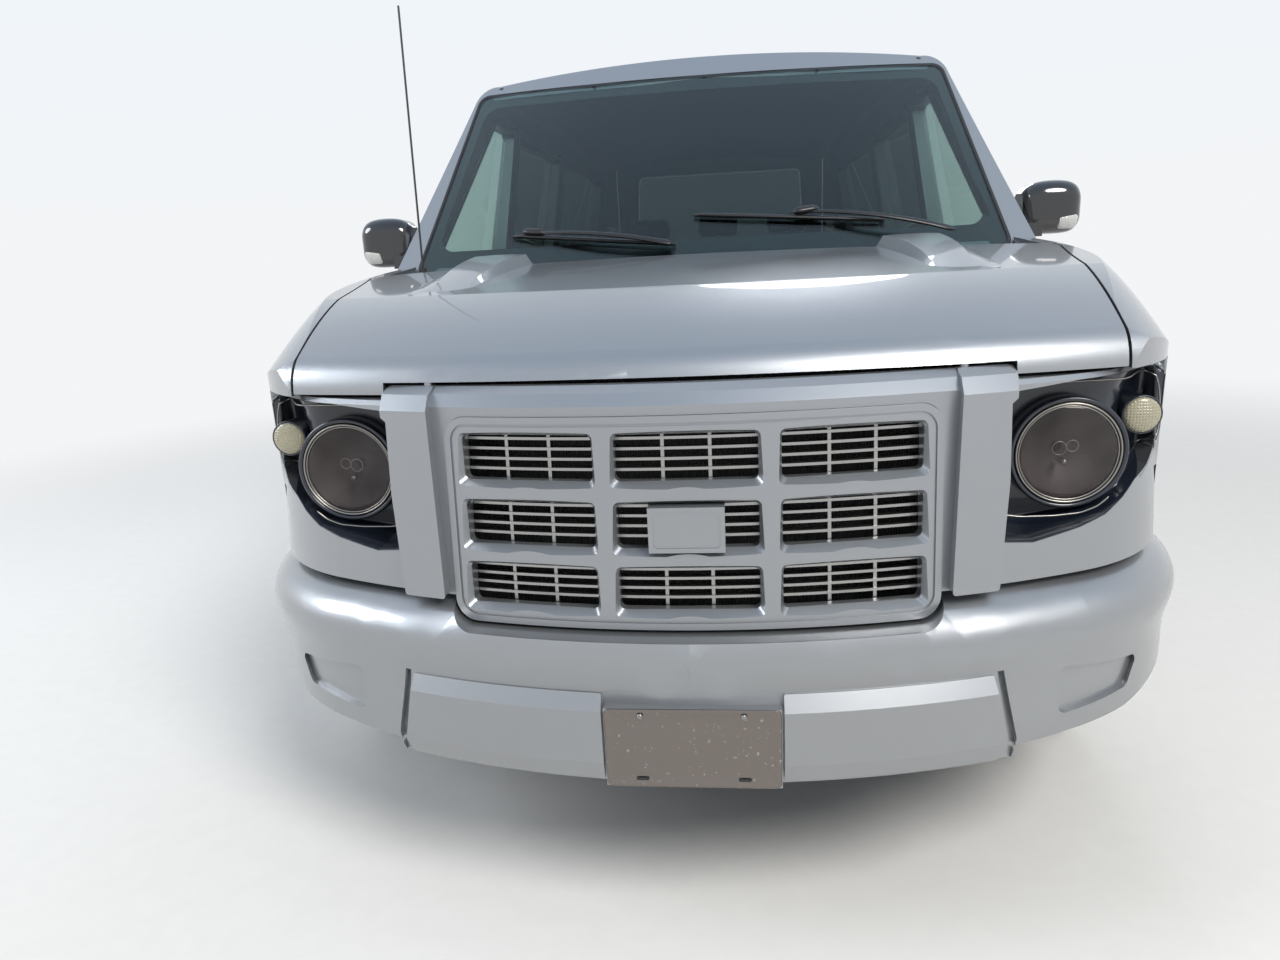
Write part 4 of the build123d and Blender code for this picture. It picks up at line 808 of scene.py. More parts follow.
put(plate("front_plate", plate_height, behind(0.0050), -1, 0.0), plate_metal, "chassis")
screw_steel = finish("screw_steel", (0.30, 0.29, 0.28), metallic=1.0, roughness=0.35)
add_grain(screw_steel, 400.0, 0.0002, 0.2)
screw_radii = [0.0001, 0.004, 0.0052, 0.0056]
for end, x in (("a", -screw_out), ("b", screw_out)):
    screw_at = (x, behind(0.0040), plate_height + screw_up)
    screw_depths = [-0.0026, -0.0024, -0.0012, 0.0008]
    screw = spun(f"plate_screw_{end}", screw_radii, screw_depths, screw_at, 20)
    put(screw, screw_steel, "chassis")
    slot = rounded_loop(rectangle(-0.011, -0.0028, 0.011, 0.0028), 0.0026, 5)
    slot_y = np.full(len(slot), behind(0.0037))
    slot_rows = [
        np.stack([slot[:, 0] * k + x, slot_y, slot[:, 1] * k + plate_height - slot_down], -1)
        for k in (1.0, 0.5, 0.02)
    ]
    slot_faces = sheet_faces(len(slot_rows), len(slot), closed=True)
    put(surface(f"plate_slot_{end}", np.concatenate(slot_rows), slot_faces), frit_black, "chassis")

# Front lamps: a deep dark moulded well in the wing and nose, with a round sealed lamp in a black
# bezel and a small ribbed turn lamp on its own stalk. The lens is dark tinted glass over a dark
# bowl. Thin bright wires along the edges of the well's floor are a painted highlight of those edges.
lamp_at, turn_at = (0.687, 0.857), (0.832, 0.914)
nose_arc, corner_arc, corner_from, arc_centre = 1.70, 0.425, 0.70, 1.78
lean_from, lean_share = 0.76, 0.08
nose_edge, wing_edge, ledge_edge = 0.8886, 0.9055, 0.8872
well_depth, well_turn, well_slope, hole_radius = 0.322, 0.790, 1.55, 0.101
opening = [
    (0.545, 0.729), (0.600, 0.722), (0.690, 0.736), (0.745, 0.751), (0.785, 0.774),
    (0.816, 0.800), (0.856, 0.815), (0.893, 0.840), (0.905, 0.872), (0.905, 0.974),
    (0.889, 0.997), (0.845, 1.003), (0.680, 0.999), (0.565, 0.990), (0.545, 0.974),
]


def nose_station(x, depth):
    """Distance behind the front of the nose's plan curve, drawn in by a depth: a wide arc of
    1.70 m and past 0.70 m out a corner arc of 0.425 m."""
    x, depth = np.broadcast_arrays(np.abs(np.asarray(x, float)), depth)
    lean = corner_from / nose_arc
    corner_x = corner_from - corner_arc * lean
    corner_y = arc_centre - (nose_arc - corner_arc) * math.sqrt(1 - lean**2)
    wide = arc_centre - np.sqrt((nose_arc - depth) ** 2 - x**2)
    drop = np.clip((corner_arc - depth) ** 2 - (x - corner_x) ** 2, 1e-6, None)
    corner = corner_y - np.sqrt(drop)
    return np.where(x > (nose_arc - depth) * lean, np.where(x > corner_x, corner, wide), wide)


def panel_station(x, z):
    """Station of the outer skin: the nose panel leans back with height up to its outer edge, and
    a smooth ramp joins it to the upright wing."""
    share = np.clip((np.abs(x) - nose_edge) / (wing_edge - nose_edge), 0, 1)
    return nose_station(x, (z - lean_from) * lean_share * (1 - share * share * (3 - 2 * share)))


def well_floor(x):
    """Station of the well's floor: level behind the lamp, falling back round the corner."""
    return well_depth + well_slope * np.clip(np.asarray(x) - well_turn, 0, None)


# Painted highlight: the thin bright wires made here stand in for the light caught on the lamp wells'
# edges.
def highlight_wire(path, radius):
    """A thin round wire along a path of points, its ends drawn to a point."""
    path = np.asarray(path, float)
    way = np.gradient(path, axis=0)
    way /= np.linalg.norm(way, axis=1, keepdims=True)
    up = np.cross(way, (0.3, -1.0, 0.2))
    up /= np.linalg.norm(up, axis=1, keepdims=True)
    over = np.cross(way, up)
    a = np.linspace(0, 2 * np.pi, 8, endpoint=False)[:, None]
    size = np.full(len(path), radius)
    size[0] = size[-1] = radius * 0.05
    ring = up[:, None] * np.cos(a) + over[:, None] * np.sin(a)
    pts = path[:, None] + size[:, None, None] * ring
    return pts.reshape(-1, 3), sheet_faces(len(path), 8, closed=True)


well_black = finish(
    "well_black", (0.010, 0.014, 0.024), roughness=0.28, Coat_Weight=0.5, Coat_Roughness=0.1
)
add_grain(well_black, 420.0, 0.0003, 0.12)
lens_glass = finish(
    "lamp_lens", (0.020, 0.013, 0.013), roughness=0.08,
    Alpha=0.42, Coat_Weight=0.8, Coat_Roughness=0.04,
)
lens_haze = on_object(lens_glass, "ShaderNodeTexNoise", Scale=9.0, Detail=3.0)
tinted(lens_glass, lens_haze, (0.38, (0.018, 0.011, 0.011)), (0.68, (0.110, 0.098, 0.098)))
bowl_dark = finish("lamp_bowl", (0.062, 0.042, 0.041), metallic=0.2, roughness=0.5)
add_grain(bowl_dark, 40.0, 0.0008, 0.10)
rim_bright = finish("lamp_rim", (0.32, 0.305, 0.28), metallic=1.0, roughness=0.34)
add_grain(rim_bright, 600.0, 0.0001, 0.1)
turn_lens = finish(
    "turn_lens", (0.42, 0.39, 0.27), roughness=0.22,
    Coat_Weight=0.7, Coat_Roughness=0.08, Transmission_Weight=0.15,
)
grid_at = place(turn_lens, "ShaderNodeTexCoord")
grid_sum = place(turn_lens, "ShaderNodeMath", operation="MINIMUM")
for index, across in enumerate(("X", "Z")):
    line = place(turn_lens, "ShaderNodeTexWave", Scale=58.0, bands_direction=across)
    join(turn_lens, (grid_at, "Object", line, "Vector"), (line, "Fac", grid_sum, index))
emboss(turn_lens, grid_sum, "Value", 0.7, 0.0012)

# The outline of the well is the same on both sides: the lip on the skin, a black ledge as far as
# the nose panel reaches, the wall, and the floor up to the round hole behind the lamp.
lip = split_long(rounded_loop(opening, 0.010, 5), 3)
middle = np.array(lamp_at)
ledge = np.stack([np.minimum(lip[:, 0], ledge_edge), lip[:, 1]], -1)
spoke = ledge - middle
spoke_length = np.linalg.norm(spoke, axis=1, keepdims=True)
hole = middle + spoke / spoke_length * hole_radius
inner = middle + spoke * (1 - 0.007 / spoke_length)
lip_y = panel_station(lip[:, 0], lip[:, 1])
skin_y = panel_station(ledge[:, 0], ledge[:, 1]) - 0.0030
ledge_y = np.where(lip[:, 0] > ledge_edge, skin_y, lip_y + 0.0018)
floor_y = np.maximum(well_floor(inner[:, 0]), ledge_y + 0.02)
well_rows = []
for share in (0.0, 0.5, 0.9, 1.0):
    flat = lip + (ledge - lip) * share + (inner - ledge) * 0.06 * share
    well_rows.append((flat, (lip_y + 0.0015) * (1 - share) + ledge_y * share))
for share in (0.3, 0.65, 1.0):
    well_rows.append((ledge + (inner - ledge) * share, ledge_y * (1 - share) + floor_y * share))
for share in (0.12, 0.4, 0.7, 1.0):
    flat = inner + (hole - inner) * share
    well_rows.append((flat, floor_y * (1 - share) + well_floor(flat[:, 0]) * share))

t = np.linspace(0, 1, 14)
turn = np.linspace(0, 2 * np.pi, 13)
bowl_t = np.linspace(1, 0.12, 18)
lamp_parts = (
    (
        "bezel",
        [0.1015, 0.1045, 0.1050, 0.1035, 0.1005, 0.0965, 0.0950, 0.0945],
        [0.032, 0.030, -0.001, -0.006, -0.0075, -0.006, -0.002, 0.006],
        well_black, True,
    ),
    ("lens", 0.0868 * np.append(1 - t[:-1] ** 2, 0.0005), -0.002 - 0.011 * t**0.8, lens_glass, True),
    ("bowl", np.linspace(0.0862, 0.010, 18), 0.004 + 0.056 * (1 - bowl_t**2), bowl_dark, True),
    ("rim", 0.0920 + 0.0024 * np.cos(turn), -0.004 + 0.00312 * np.sin(turn), rim_bright, False),
    ("ring", 0.0874 + 0.0016 * np.cos(turn), -0.003 + 0.00208 * np.sin(turn), rim_bright, False),
)
# Painted highlight: paths of the bright wires that stand in for the light caught on the edges of the
# well's floor.
highlight_rows = (
    ("upper", [
        (0.640, 0.982), (0.760, 0.986), (0.845, 0.988), (0.876, 0.984), (0.891, 0.966),
        (0.8945, 0.930), (0.8945, 0.880), (0.886, 0.854), (0.862, 0.839), (0.828, 0.831),
        (0.796, 0.836),
    ]),
    ("lower", [
        (0.556, 0.752), (0.600, 0.746), (0.660, 0.747), (0.705, 0.752), (0.733, 0.764),
        (0.752, 0.782),
    ]),
)
for label, side in (("left", 1), ("right", -1)):
    rows = [np.stack([side * flat[:, 0], behind(0.0) + y, flat[:, 1]], -1) for flat, y in well_rows]
    faces = turned_out(sheet_faces(len(rows), len(lip), closed=True), side > 0)
    well = put(surface(f"lamp_well_{label}", np.concatenate(rows), faces), well_black, "chassis")
    if side > 0:
        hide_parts("headlamps")
    lamp_x, lamp_y, lamp_z = side * lamp_at[0], behind(0.294), lamp_at[1]
    for part, radii, depths, material, keep in lamp_parts:
        centre = (lamp_x, lamp_y, lamp_z)
        put(spun(f"lamp_{part}_{label}", radii, depths, centre, 96, keep), material, "chassis")
    for part, dx, dz, big in (("a", -0.011, 0.006, 0.0125), ("b", 0.012, 0.010, 0.0105)):
        hoop_at = (lamp_x + side * dx, lamp_y, lamp_z + dz)
        radii, depths = big + 0.0011 * np.cos(turn), 0.012 + 0.0011 * np.sin(turn)
        put(spun(f"lamp_hoop_{part}_{label}", radii, depths, hoop_at, 32), rim_bright, "chassis")
    bulb_at = (lamp_x, lamp_y + 0.020, lamp_z - 0.021)
    radii = [0.0001, 0.0045, 0.0062, 0.0065, 0.0055]
    depths = [-0.010, -0.009, -0.006, 0.004, 0.022]
    put(spun(f"lamp_bulb_{label}", radii, depths, bulb_at, 24), rim_bright, "chassis")
    stalk_at = (side * turn_at[0], behind(0.343), turn_at[1])
    for part, radii, depths, material in (
        (
            "lens", [0.0001, 0.010, 0.020, 0.028, 0.0322, 0.0330],
            [-0.0085, -0.0082, -0.0070, -0.0045, -0.0015, 0.0015], turn_lens,
        ),
        (
            "cup", [0.0328, 0.0345, 0.0362, 0.0366, 0.0362, 0.0340],
            [0.0010, -0.0005, 0.0010, 0.0060, 0.0700, 0.1000], well_black,
        ),
    ):
        put(spun(f"turn_{part}_{label}", radii, depths, stalk_at, 48), material, "chassis")
    # Painted highlight: a bright wire in the lamp rim's metal along each path, in place of the light on
    # the well's edge.
    for part, knots in highlight_rows:
        knots = np.array(knots)
        knot_at = np.append(0, np.cumsum(np.linalg.norm(np.diff(knots, axis=0), axis=1)))
        even = np.linspace(0, knot_at[-1], 60)
        xz = np.stack([np.interp(even, knot_at, knots[:, axis]) for axis in (0, 1)], -1)
        for _ in range(4):
            xz[1:-1] = (xz[:-2] + 2 * xz[1:-1] + xz[2:]) / 4
        x, z = xz[:, 0], xz[:, 1]
        y = np.maximum(well_floor(x), panel_station(x, z) + 0.018) - 0.004
        on_ledge = panel_station(np.minimum(x, ledge_edge), z) - 0.0055
        y = np.where(x > 0.8800, np.minimum(y, on_ledge), y)
        for _ in range(3):
            y[1:-1] = np.minimum(y[1:-1], (y[:-2] + 2 * y[1:-1] + y[2:]) / 4)
        if part == "lower":
            y = np.full(len(xz), 0.262)
        wire = highlight_wire(np.stack([side * x, behind(0.0) + y, z], -1), 0.0017)
        put(surface(f"well_highlight_{part}_{label}", *wire), rim_bright, "chassis")

# Corner mouldings in body colour, clipped on beside the lamp wells: they close the step between
# the leaning nose panel and each wing.
moulding_foot, moulding_head, moulding_lift = 0.800, 1.0075, 0.0010
moulding_edge = (
    (0.800, 0.815, 0.840, 0.872, 0.974, 0.997, 1.003),
    (0.830, 0.856, 0.893, 0.905, 0.905, 0.889, 0.850),
)
for label, side in (("left", 1), ("right", -1)):
    rows = []
    for z in np.linspace(moulding_foot, moulding_head, 26):
        x_in = float(np.interp(z, *moulding_edge))
        x = np.concatenate([[x_in], np.linspace(x_in, wing_edge, 12), [0.912, 0.920, 0.928, 0.932]])
        y = panel_station(x, z) - moulding_lift
        y[0] += 0.014
        y[-1] += 0.0012
        rows.append(np.stack([side * x, behind(0.0) + y, np.full(len(x), z)], -1))
    faces = turned_out(sheet_faces(len(rows), len(rows[0])), side > 0)
    put(surface(f"wing_corner_{label}", np.concatenate(rows), faces), paint, "chassis")

# Radiator: a black core of fine upright fins in a moulded frame, standing behind the grille and
# in front of the engine.
core_front, core_middle, core_half_width, core_half_height = 0.285, 0.790, 0.520, 0.235
core_black = finish("radiator_black", (0.010, 0.010, 0.011), roughness=0.6)


def add_ribs(material, scale):
    """Upright ribs across the width: a wave along X raises the surface."""
    wave = on_object(material, "ShaderNodeTexWave", Scale=scale, bands_direction="X")
    emboss(material, wave, "Fac", 0.8, 0.002)


add_ribs(core_black, 60.0)
loops = []
for inset, back_step in (
    (0.004, 0.030), (0.0, 0.026), (0.0, 0.004), (0.004, 0.0), (0.028, 0.0), (0.030, 0.006),
):
    x, z = core_half_width - inset, core_half_height - inset
    loop = rounded_loop(rectangle(-x, -z, x, z), 0.015, 6)
    y = np.full(len(loop), behind(core_front) + back_step)
    loops.append(np.stack([loop[:, 0], y, loop[:, 1] + core_middle], -1))
radiator = surface("radiator", np.concatenate(loops), capped(len(loops), len(loops[0])))
put(radiator, core_black, "chassis")

# Seats: cloth-covered foam cushions with sewn channels, on steel pedestals with plastic covers.
# The pads are swollen by a short cloth simulation and then creased along their seams.


def pad_form(name, low, high, corner):
    """A rounded block drawn in at both ends: rings run along X, each a rounded rectangle in Y
    and Z whose half sizes follow a quarter circle of the corner radius near the ends."""
    low, high = np.array(low), np.array(high)
    middle, half = (low + high) / 2, (high - low) / 2
    t = np.linspace(0, np.pi / 2, 6)
    ends, sink = corner * (1 - np.cos(t))[:-1], corner * (1 - np.sin(t))[:-1]
    reach = half[0] - corner
    run = np.linspace(-reach, reach, max(int(reach / 0.02), 3))
    x = np.concatenate([-half[0] + ends, run, half[0] - ends[::-1]])
    draw = np.concatenate([sink, np.zeros(len(run)), sink[::-1]])
    rings = []
    for x_at, inset in zip(x, draw):
        h, v = half[1] - inset, half[2] - inset
        loop = rounded_loop(rectangle(-h, -v, h, v), max(corner - inset, 0.004), 5)
        rings.append(np.stack([np.full(len(loop), x_at), loop[:, 0], loop[:, 1]], -1) + middle)
    return surface(name, np.concatenate(rings), capped(len(rings), len(rings[0])))


def applied(thing):
    """Replaces the mesh by its evaluated copy, so that no modifier is left on the piece."""
    graph = bpy.context.evaluated_depsgraph_get()
    mesh = bpy.data.meshes.new_from_object(thing.evaluated_get(graph))
    thing.modifiers.clear()
    thing.data = mesh


def points_of(mesh, attribute="co"):
    """The mesh's points, or their normals, as an array."""
    flat = np.empty(len(mesh.vertices) * 3)
    mesh.vertices.foreach_get(attribute, flat)
    return flat.reshape(-1, 3)


def swell(things, cap, steps=20):
    """Cloth under inner pressure without gravity; no point moves past the cap."""
    for thing in things:
        cloth = thing.modifiers.new("swell", "CLOTH")
        cloth.settings.use_pressure = True
        cloth.settings.uniform_pressure_force = 4.0
        cloth.settings.effector_weights.gravity = 0.0
    for frame_number in range(1, steps + 1):
        scene.frame_set(frame_number)
    graph = bpy.context.evaluated_depsgraph_get()
    for thing in things:
        start = points_of(thing.data)
        move = points_of(thing.evaluated_get(graph).to_mesh()) - start
        thing.evaluated_get(graph).to_mesh_clear()
        thing.modifiers.clear()
        share = np.minimum(1, cap / np.maximum(np.linalg.norm(move, axis=1, keepdims=True), 1e-9))
        thing.data.vertices.foreach_set("co", (start + move * share).ravel())
        thing.data.update()
    scene.frame_set(1)


def crease(thing, lines, depth, width):
    """Sewn channels: points near a plane x, y or z = value sink along their normals by a bell
    curve of the distance."""
    mesh = thing.data
    co, normal = points_of(mesh), points_of(mesh, "normal")
    sink = np.zeros(len(co))
    for axis, value in lines:
        sink = np.maximum(sink, np.exp(-(((co[:, axis] - value) / width) ** 2)))
    mesh.vertices.foreach_set("co", (co - normal * (sink * depth)[:, None]).ravel())
    mesh.update()


seat_weave = finish("seat_weave", (0.050, 0.048, 0.047), roughness=0.92, Sheen_Weight=0.25)
add_grain(seat_weave, 700.0, 0.0008, 0.5)
seat_shell = finish("seat_shell", (0.022, 0.022, 0.023), roughness=0.6)
add_grain(seat_shell, 260.0, 0.0004, 0.3)
drive_y, bench_y = behind(1.95), behind(3.80)
pad_corner, rest_corner, swell_cap, seam_depth, seam_width = 0.045, 0.035, 0.022, 0.011, 0.009
pad_rows = [
    (
        "driver_cushion", (0.165, drive_y + 0.015, 0.575), (0.635, drive_y + 0.475, 0.690),
        pad_corner, ((0, 0.25), (0, 0.55), (1, drive_y + 0.14)),
    ),
    (
        "driver_back", (0.175, drive_y + 0.395, 0.715), (0.625, drive_y + 0.505, 1.110),
        pad_corner, ((0, 0.25), (0, 0.55), (2, 0.84)),
    ),
    (
        "driver_headrest", (0.285, drive_y + 0.405, 1.150), (0.515, drive_y + 0.490, 1.275),
        rest_corner, ((0, 0.33), (0, 0.47)),
    ),
    (
        "bench_cushion", (-0.625, bench_y + 0.015, 0.815), (0.625, bench_y + 0.435, 0.938),
        pad_corner, ((0, -0.21), (0, 0.21), (1, bench_y + 0.12)),
    ),
    (
        "bench_back", (-0.625, bench_y + 0.395, 0.965), (0.625, bench_y + 0.505, 1.310),
        pad_corner, ((0, -0.21), (0, 0.21), (2, 1.06)),
    ),
]
for end, x_mid in (("a", -0.42), ("b", 0.0), ("c", 0.42)):
    low, high = (x_mid - 0.120, bench_y + 0.405, 1.345), (x_mid + 0.120, bench_y + 0.495, 1.465)
    pad_rows.append((f"bench_headrest_{end}", low, high, rest_corner, ((0, x_mid),)))
pads = []
for label, low, high, corner, _ in pad_rows:
    pad = pad_form(f"pad_{label}", low, high, corner)
    even = pad.modifiers.new("even", "REMESH")
    even.mode = "VOXEL"
    even.voxel_size = 0.012
    applied(pad)
    pads.append(pad)
swell(pads, swell_cap)
for pad, (*_, seams) in zip(pads, pad_rows):
    finer = pad.modifiers.new("finer", "SUBSURF")
    finer.levels = finer.render_levels = 1
    applied(pad)
    pad.data.polygons.foreach_set("use_smooth", np.ones(len(pad.data.polygons), bool))
    crease(pad, seams, seam_depth, seam_width)
    pad.data.materials.clear()
    put(pad, seat_weave, "chassis")
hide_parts("seats")
for label, low, high in (
    ("driver_base", (0.21, drive_y + 0.06, 0.366), (0.59, drive_y + 0.44, 0.570)),
    ("bench_base", (-0.59, bench_y + 0.06, 0.545), (0.59, bench_y + 0.39, 0.810)),
):
    put(pad_form(label, low, high, 0.02), seat_shell, "chassis")
post_steel = finish("post_steel", (0.45, 0.45, 0.46), metallic=1.0, roughness=0.25)
add_grain(post_steel, 500.0, 0.0001, 0.1)
post_out, post_radius, sides = 0.06, 0.006, 16
a = np.linspace(0, 2 * np.pi, sides, endpoint=False)
for label, x_mid, y_at, foot, head in (
    ("driver", 0.40, drive_y + 0.448, 1.08, 1.20),
    ("bench_a", -0.42, bench_y + 0.450, 1.28, 1.39),
    ("bench_b", 0.0, bench_y + 0.450, 1.28, 1.39),
    ("bench_c", 0.42, bench_y + 0.450, 1.28, 1.39),
):
    for end, x_at in (("a", x_mid - post_out), ("b", x_mid + post_out)):
        x, y = x_at + post_radius * np.cos(a), y_at + post_radius * np.sin(a)
        rows = np.concatenate([np.stack([x, y, np.full(sides, z)], -1) for z in (foot, head)])
        post = surface(f"headrest_post_{label}_{end}", rows, sheet_faces(2, sides, closed=True))
        put(post, post_steel, "chassis")

# Trim that lies on the body: moulded belt strips and roof mouldings pressed onto the panels, and
# glass and lenses set into the mirrors. Points on the body are found by casting a straight line
# onto the CAD surfaces, so that each strip and lens follows the real panel.
panel_trees = {}


def cast(names, origin, way):
    """Where a line from the origin first meets any of the named nodes: the point and the
    surface's own direction there, turned to face the line's start."""
    best = None
    for label in names:
        if label not in panel_trees:
            mesh = nodes[label].data
            polygons = [tuple(p.vertices) for p in mesh.polygons]
            panel_trees[label] = BVHTree.FromPolygons(points_of(mesh).tolist(), polygons)
        spot, normal, _, far = panel_trees[label].ray_cast(Vector(origin), Vector(way))
        if spot is not None and (best is None or far < best[0]):
            turn = -1 if normal.dot(Vector(way)) > 0 else 1
            best = (far, np.array(spot), np.array(normal) * turn)
    if best is None:
        raise ValueError(f"a line from {origin} misses {names}")
    return best[1:]


def from_side(side):
    """Lines along X from outside one flank; a point (station, height) gives the line."""
    return lambda u, v: ((side * 1.6, behind(u), v), (-side, 0, 0))


def from_front(u, v):
    """A line along Y from ahead through the point (X, height)."""
    return (u, -3.5, v), (0, 1, 0)


def from_rear(u, v):
    """A line along Y from behind through the point (X, height)."""
    return (u, 3.5, v), (0, -1, 0)


def from_above(u, v):
    """A line straight down through the point (X, station)."""
    return (u, behind(v), 2.6), (0, 0, -1)


def strip(name, names, view, path, profile, closed=False):
    """A moulding carried along a path laid on the body: each profile point (across, lift) is
    added along the sideways and the outward direction of the panel."""
    hits = [cast(names, *view(u, v)) for u, v in path]
    spots, normals = np.array([h[0] for h in hits]), np.array([h[1] for h in hits])
    if closed:
        way = np.roll(spots, -1, 0) - np.roll(spots, 1, 0)
    else:
        way = np.gradient(spots, axis=0)
    side_way = np.cross(normals, way)
    side_way /= np.linalg.norm(side_way, axis=1, keepdims=True)
    rings = [spots + side_way * across + normals * lift for across, lift in profile]
    return surface(name, np.concatenate(rings), sheet_faces(len(profile), len(path), closed))


def laid(name, names, view, loops, lifts):
    """A skin laid on the body inside an outline: nested loops from the edge inwards, each lifted
    off the panel by its own amount; the last loop is small enough to close the middle."""
    hits = [cast(names, *view(u, v)) for loop in loops for u, v in loop]
    count = len(loops[0])
    points, outward = np.array([h[0] for h in hits]), np.array([h[1] for h in hits])
    turn = np.cross(points[:count], np.roll(points[:count], -1, 0)).sum(0) @ outward[:count].sum(0)
    points = points + outward * np.repeat(lifts, count)[:, None]
    faces = sheet_faces(len(loops), count, closed=True).tolist()
    faces.append([(len(loops) - 1) * count + i for i in range(count)])
    return surface(name, points, turned_out(faces, turn > 0))


def nested(corners, radius, shares, pieces=3):
    """Copies of a rounded outline drawn in towards its middle by each share."""
    loop = split_long(rounded_loop(corners, radius, 6), pieces)
    middle = loop.mean(0)
    return [middle + (loop - middle) * share for share in shares]


def half_round(width, height):
    """A half-round profile of that width and height."""
    shape = (
        (-0.5, 0.0), (-0.42, 0.45), (-0.2, 0.9), (0.0, 1.0), (0.2, 0.9), (0.42, 0.45), (0.5, 0.0),
    )
    return [(a * width, b * height) for a, b in shape]


def runs(start, end, count):
    """Evenly spaced points from one to the other."""
    t = np.linspace(0, 1, count)[:, None]
    return np.array(start) * (1 - t) + np.array(end) * t


trim_black = finish("trim_black", (0.014, 0.014, 0.015), roughness=0.45)
add_grain(trim_black, 350.0, 0.0003, 0.25)
seam_dark = finish("seam_dark", (0.004, 0.004, 0.004), roughness=0.8)
add_grain(seam_dark, 350.0, 0.0001, 0.1)
mirror_silver = finish("mirror_silver", (0.80, 0.82, 0.84), metallic=1.0, roughness=0.02)
add_grain(mirror_silver, 20.0, 0.0001, 0.02)
clear_ribbed = finish(
    "clear_ribbed", (0.62, 0.62, 0.60), roughness=0.15, Coat_Weight=1.0, Coat_Roughness=0.03
)
add_ribs(clear_ribbed, 70.0)
belt_height, gutter_out = 1.181, 0.746
glass_shares = (1.0, 0.9, 0.7, 0.45, 0.2, 0.05)
lens_shares = (1.0, 0.96, 0.85, 0.6, 0.3, 0.05)
lens_lifts = (-0.0004, 0.0014, 0.0022, 0.0024, 0.0024, 0.0024)
for label, side in (("left", 1), ("right", -1)):
    flank, mirror, front_door = from_side(side), f"mirror_{label}", f"door_front_{label}"
    for piece, node, body, (start, end) in (
        ("front", front_door, front_door, (1.470, 2.430)),
        ("rear", f"door_rear_{label}", f"door_rear_{label}", (2.472, 3.420)),
        ("quarter", "body_sides", "chassis", (3.462, 4.880)),
    ):
        line = runs((start, belt_height), (end, belt_height), 24)[::side]
        belt = strip(f"belt_trim_{piece}_{label}", [node], flank, line, half_round(0.014, 0.004))
        put(belt, trim_black, body)
    gutter = runs((side * gutter_out, 2.01), (side * gutter_out, 4.96), 60)
    shape = [(across + side * 0.008, lift) for across, lift in half_round(0.018, 0.003)]
    moulding = strip(f"roof_moulding_{label}", ["body_sides"], from_above, gutter, shape)
    put(moulding, trim_black, "chassis")
    glass = nested(rectangle(side * 1.000, 1.268, side * 1.121, 1.392), 0.030, glass_shares)
    face = laid(f"mirror_glass_{label}", [mirror], from_rear, glass, (0.0008,) * 6)
    put(face, mirror_silver, front_door)
    lens_outline = [(1.070, 1.264), (1.128, 1.264), (1.132, 1.306), (1.074, 1.297)]
    lens = nested([(side * x, z) for x, z in lens_outline], 0.008, lens_shares)
    lamp = laid(f"mirror_lamp_{label}", [mirror], from_front, lens, lens_lifts)
    put(lamp, clear_ribbed, front_door)
fuel_ring = split_long(rounded_loop(rectangle(4.10, 0.93, 4.27, 1.09), 0.030, 8), 6)
seam = [(-0.0022, 0.0001), (0.0022, 0.0001)]
fuel_line = strip("fuel_door_line", ["body_sides"], from_side(1), fuel_ring, seam, closed=True)
put(fuel_line, seam_dark, "chassis")

# Wheel arch edges: black moulded strips join each front inner arch to the wing's skin, pushed
# over its folded lip.
arch_in, arch_out, arch_lip, arch_inner_x, lip_inset = 0.4335, 0.4425, 0.439, 0.862, 0.0045
for label, side in (("left", 1), ("right", -1)):
    rows = []
    for angle in np.radians(np.linspace(12, 134, 41)):
        back_part, up_part = math.cos(angle), math.sin(angle)
        line = from_side(side)(axle_at + arch_lip * back_part, tyre_outer + arch_lip * up_part)
        spot, _ = cast(["fenders"], *line)
        skin = abs(float(spot[0])) - lip_inset
        for x, radius in (
            (arch_inner_x, arch_in), (skin, arch_in), (skin, arch_out), (arch_inner_x, arch_out),
        ):
            rows.append((side * x, behind(axle_at) + radius * back_part, tyre_outer + radius * up_part))
    faces = turned_out(capped(len(rows) // 4, 4), side > 0)
    put(surface(f"arch_edge_{label}", np.array(rows), faces, smooth=False), trim_black, "chassis")

# Tailgate and rear corner trim: blank plate, high brake lamp, wiper, pull strip, reversing lamps
# and the black step pad on the bumper, all moulded or stamped and screwed on.
rear_plate_height = 0.776
plate_spot, plate_normal = cast(["tailgate"], *from_rear(0.0, rear_plate_height))
plate_y, plate_tilt = float(plate_spot[1]) + 0.0022, float(-plate_normal[2] / plate_normal[1])
put(plate("rear_plate", rear_plate_height, plate_y, 1, plate_tilt), plate_metal, "tailgate")
for end, x in (("a", -screw_out), ("b", screw_out)):
    spot, _ = cast(["tailgate"], *from_rear(x, rear_plate_height + screw_up))
    screw_depths = [0.0066, 0.0064, 0.0052, 0.0010]
    screw = spun(f"rear_screw_{end}", screw_radii, screw_depths, spot, 20, keep=True)
    put(screw, screw_steel, "tailgate")
brake_red = finish(
    "brake_red", (0.30, 0.008, 0.008), roughness=0.12, Coat_Weight=1.0, Transmission_Weight=0.1
)
add_grain(brake_red, 300.0, 0.0004, 0.3)
bar_shares = (1.0, 0.97, 0.85, 0.5, 0.05)
brake_outline = nested(rectangle(-0.19, 1.822, 0.19, 1.850), 0.010, bar_shares)
brake_lifts = (0.0, 0.0060, 0.0085, 0.009, 0.009)
brake_lamp = laid("high_brake_lamp", ["tailgate"], from_rear, brake_outline, brake_lifts)
put(brake_lamp, brake_red, "tailgate")
pull_outline = nested(rectangle(-0.100, 0.912, 0.100, 0.948), 0.012, bar_shares)
pull_lifts = (0.0, 0.0040, 0.0055, 0.006, 0.006)
pull = laid("tailgate_pull", ["tailgate"], from_rear, pull_outline, pull_lifts)
put(pull, trim_black, "tailgate")
reverse_white = finish(
    "reverse_white", (0.72, 0.72, 0.70), roughness=0.12, Coat_Weight=1.0, Transmission_Weight=0.15
)
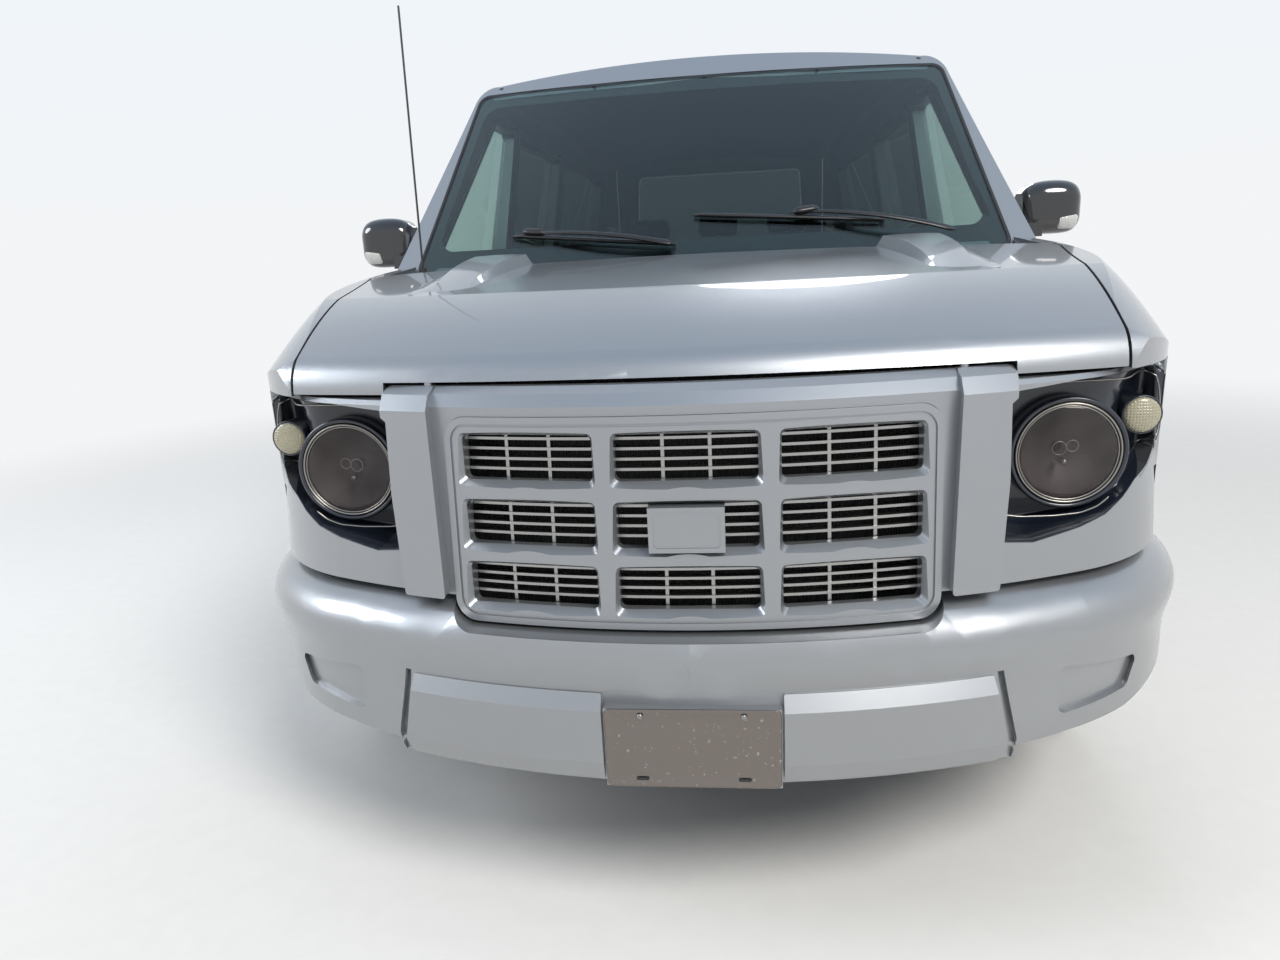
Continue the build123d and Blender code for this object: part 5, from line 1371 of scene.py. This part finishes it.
add_grain(reverse_white, 260.0, 0.0006, 0.5)
for label, side in (("left", 1), ("right", -1)):
    for part, low, high, material in (
        ("reverse", 1.075, 1.165, reverse_white),
        ("stop", 1.215, 1.415, brake_red),
    ):
        outline = ((0.765, low), (0.905, low), (0.900, high), (0.765, high))
        loops = nested([(side * x, z) for x, z in outline], 0.018, (1.0, 0.97, 0.88, 0.6, 0.3, 0.06))
        lifts = (0.0, 0.0035, 0.0050, 0.006, 0.006, 0.006)
        lamp = laid(f"{part}_lamp_{label}", ["tail_lamps"], from_rear, loops, lifts)
        put(lamp, material, "chassis")
gate_line = runs((-0.56, 1.198), (0.56, 1.198), 30)[::-1]
gate_belt = strip("gate_belt_trim", ["tailgate"], from_rear, gate_line, half_round(0.016, 0.005))
put(gate_belt, trim_black, "tailgate")
step_outline = [(-0.86, 5.085), (0.86, 5.085), (0.80, 5.165), (-0.80, 5.165)]
step_loops = nested(step_outline, 0.02, (1.0, 0.995, 0.97, 0.7, 0.3, 0.04), pieces=8)
step_lifts = (0.0, 0.0030, 0.0040, 0.004, 0.004, 0.004)
step_pad = laid("bumper_step_pad", ["bumper_rear"], from_above, step_loops, step_lifts)
put(step_pad, trim_black, "chassis")
pivot, aim = np.array([0.0, 1.232]), np.array([0.36, 1.262])
spots = []
for t in np.linspace(0, 1, 26):
    spot, normal = cast(["tailgate_glass", "tailgate"], *from_rear(*(pivot + (aim - pivot) * t)))
    spots.append(spot + normal * (0.016 + 0.006 * math.sin(math.pi * t)))
width = np.concatenate([[0.004], np.linspace(0.022, 0.011, 24), [0.003]])
put(surface("rear_wiper_arm", *along(spots, width, width * 0.45, 10)), wiper_black, "tailgate")
spots = []
for t in np.linspace(-1, 1, 26):
    spot, normal = cast(["tailgate_glass"], *from_rear(0.34 + 0.15 * t, 1.262 + 0.012 * t))
    spots.append(spot + normal * 0.0075)
blade = surface("rear_wiper_blade", *along(spots, np.full(26, 0.006), np.full(26, 0.012)))
put(blade, wiper_black, "tailgate")
